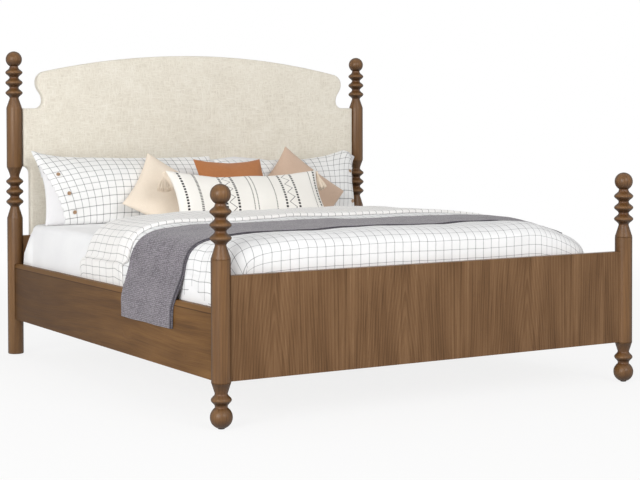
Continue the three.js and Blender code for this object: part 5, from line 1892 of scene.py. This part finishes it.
# Studio
# A seamless white room, not part of the bed: soft daylight from the left and a weaker one from the front,
# and a floor that keeps the bed's shadow.
camera_place = (-3.7347, -6.3559, 1.1842)
camera_turn = (math.radians(88.559), math.radians(0.15), math.radians(-31.109))
camera_lens = 88.72
camera_drop = -0.1346
floor_reach = 60.0
lamps = [("key", (0.5, -11.0, 5.4), 5.0, 385.0), ("fill", (-8.0, -5.0, 3.2), 5.0, 490.0),
         ("top", (0.0, 1.0, 7.0), 4.0, 12.0)]
lamp_aim = (0.0, 0.0, 0.6)
sky_strength = 0.44
floor_fade = (2.6, 7.0)
floor_glow = 0.84


def add_floor():
    mesh = bpy.data.meshes.new("studio_floor")
    corners = [(x * floor_reach, y * floor_reach, 0) for x, y in ((-1, -1), (1, -1), (1, 1), (-1, 1))]
    mesh.from_pydata(corners, [], [(0, 1, 2, 3)])
    floor = bpy.data.objects.new("studio_floor", mesh)
    bpy.context.scene.collection.objects.link(floor)
    paper = Finish("floor_paper", 0.9, Specular_IOR_Level=0.1)
    paper.shader.inputs["Base Color"].default_value = srgb(250, 250, 250)
    rays = (paper.add("LightPath", {}, ray) for ray in ("Is Camera Ray", "Is Glossy Ray"))
    seen = paper.math("MAXIMUM", *rays)
    distance = paper.add("VectorMath", {0: paper.here()}, "Value", operation="LENGTH")
    fade = paper.plus(paper.times(paper.ease(distance, *floor_fade), 1 - floor_glow), floor_glow)
    far = paper.times(seen, fade)
    glow = paper.add("Emission", {"Color": (1, 1, 1, 1), "Strength": 1.0})
    blend = paper.add("MixShader", {0: far, 1: paper.shader.outputs[0], 2: glow})
    paper.feed(paper.tree.nodes["Material Output"].inputs["Surface"], blend)
    mesh.materials.append(paper.material)


def add_lamp(name, place, size, power):
    data = bpy.data.lights.new(name, "AREA")
    data.shape, data.size, data.energy = "SQUARE", size, power
    lamp = bpy.data.objects.new(f"studio_{name}", data)
    lamp.location = place
    lamp.rotation_euler = (Vector(lamp_aim) - Vector(place)).to_track_quat("-Z", "Y").to_euler()
    bpy.context.scene.collection.objects.link(lamp)


def white_room():
    """White where the camera or a reflection looks past the bed, softer as light on it."""
    world = bpy.data.worlds.new("studio_world")
    bpy.context.scene.world = world
    world.use_nodes = True
    nodes, links = world.node_tree.nodes, world.node_tree.links
    rays, strength = nodes.new("ShaderNodeLightPath"), nodes.new("ShaderNodeMapRange")
    seen = rays.outputs["Is Camera Ray"]
    for ray in ("Is Glossy Ray", "Is Transmission Ray"):
        either = nodes.new("ShaderNodeMath")
        either.operation = "MAXIMUM"
        links.new(seen, either.inputs[0])
        links.new(rays.outputs[ray], either.inputs[1])
        seen = either.outputs[0]
    strength.inputs["To Min"].default_value = sky_strength
    links.new(seen, strength.inputs["Value"])
    background = nodes["Background"]
    background.inputs["Color"].default_value = (1, 1, 1, 1)
    links.new(strength.outputs[0], background.inputs["Strength"])


def add_camera():
    data = bpy.data.cameras.new("camera")
    data.lens, data.sensor_width, data.shift_y = camera_lens, 36.0, camera_drop
    camera = bpy.data.objects.new("camera", data)
    camera.location, camera.rotation_euler = camera_place, camera_turn
    bpy.context.scene.collection.objects.link(camera)
    bpy.context.scene.camera = camera


add_floor()
for lamp in lamps:
    add_lamp(*lamp)
white_room()
add_camera()
bpy.context.scene.view_settings.view_transform = "Standard"
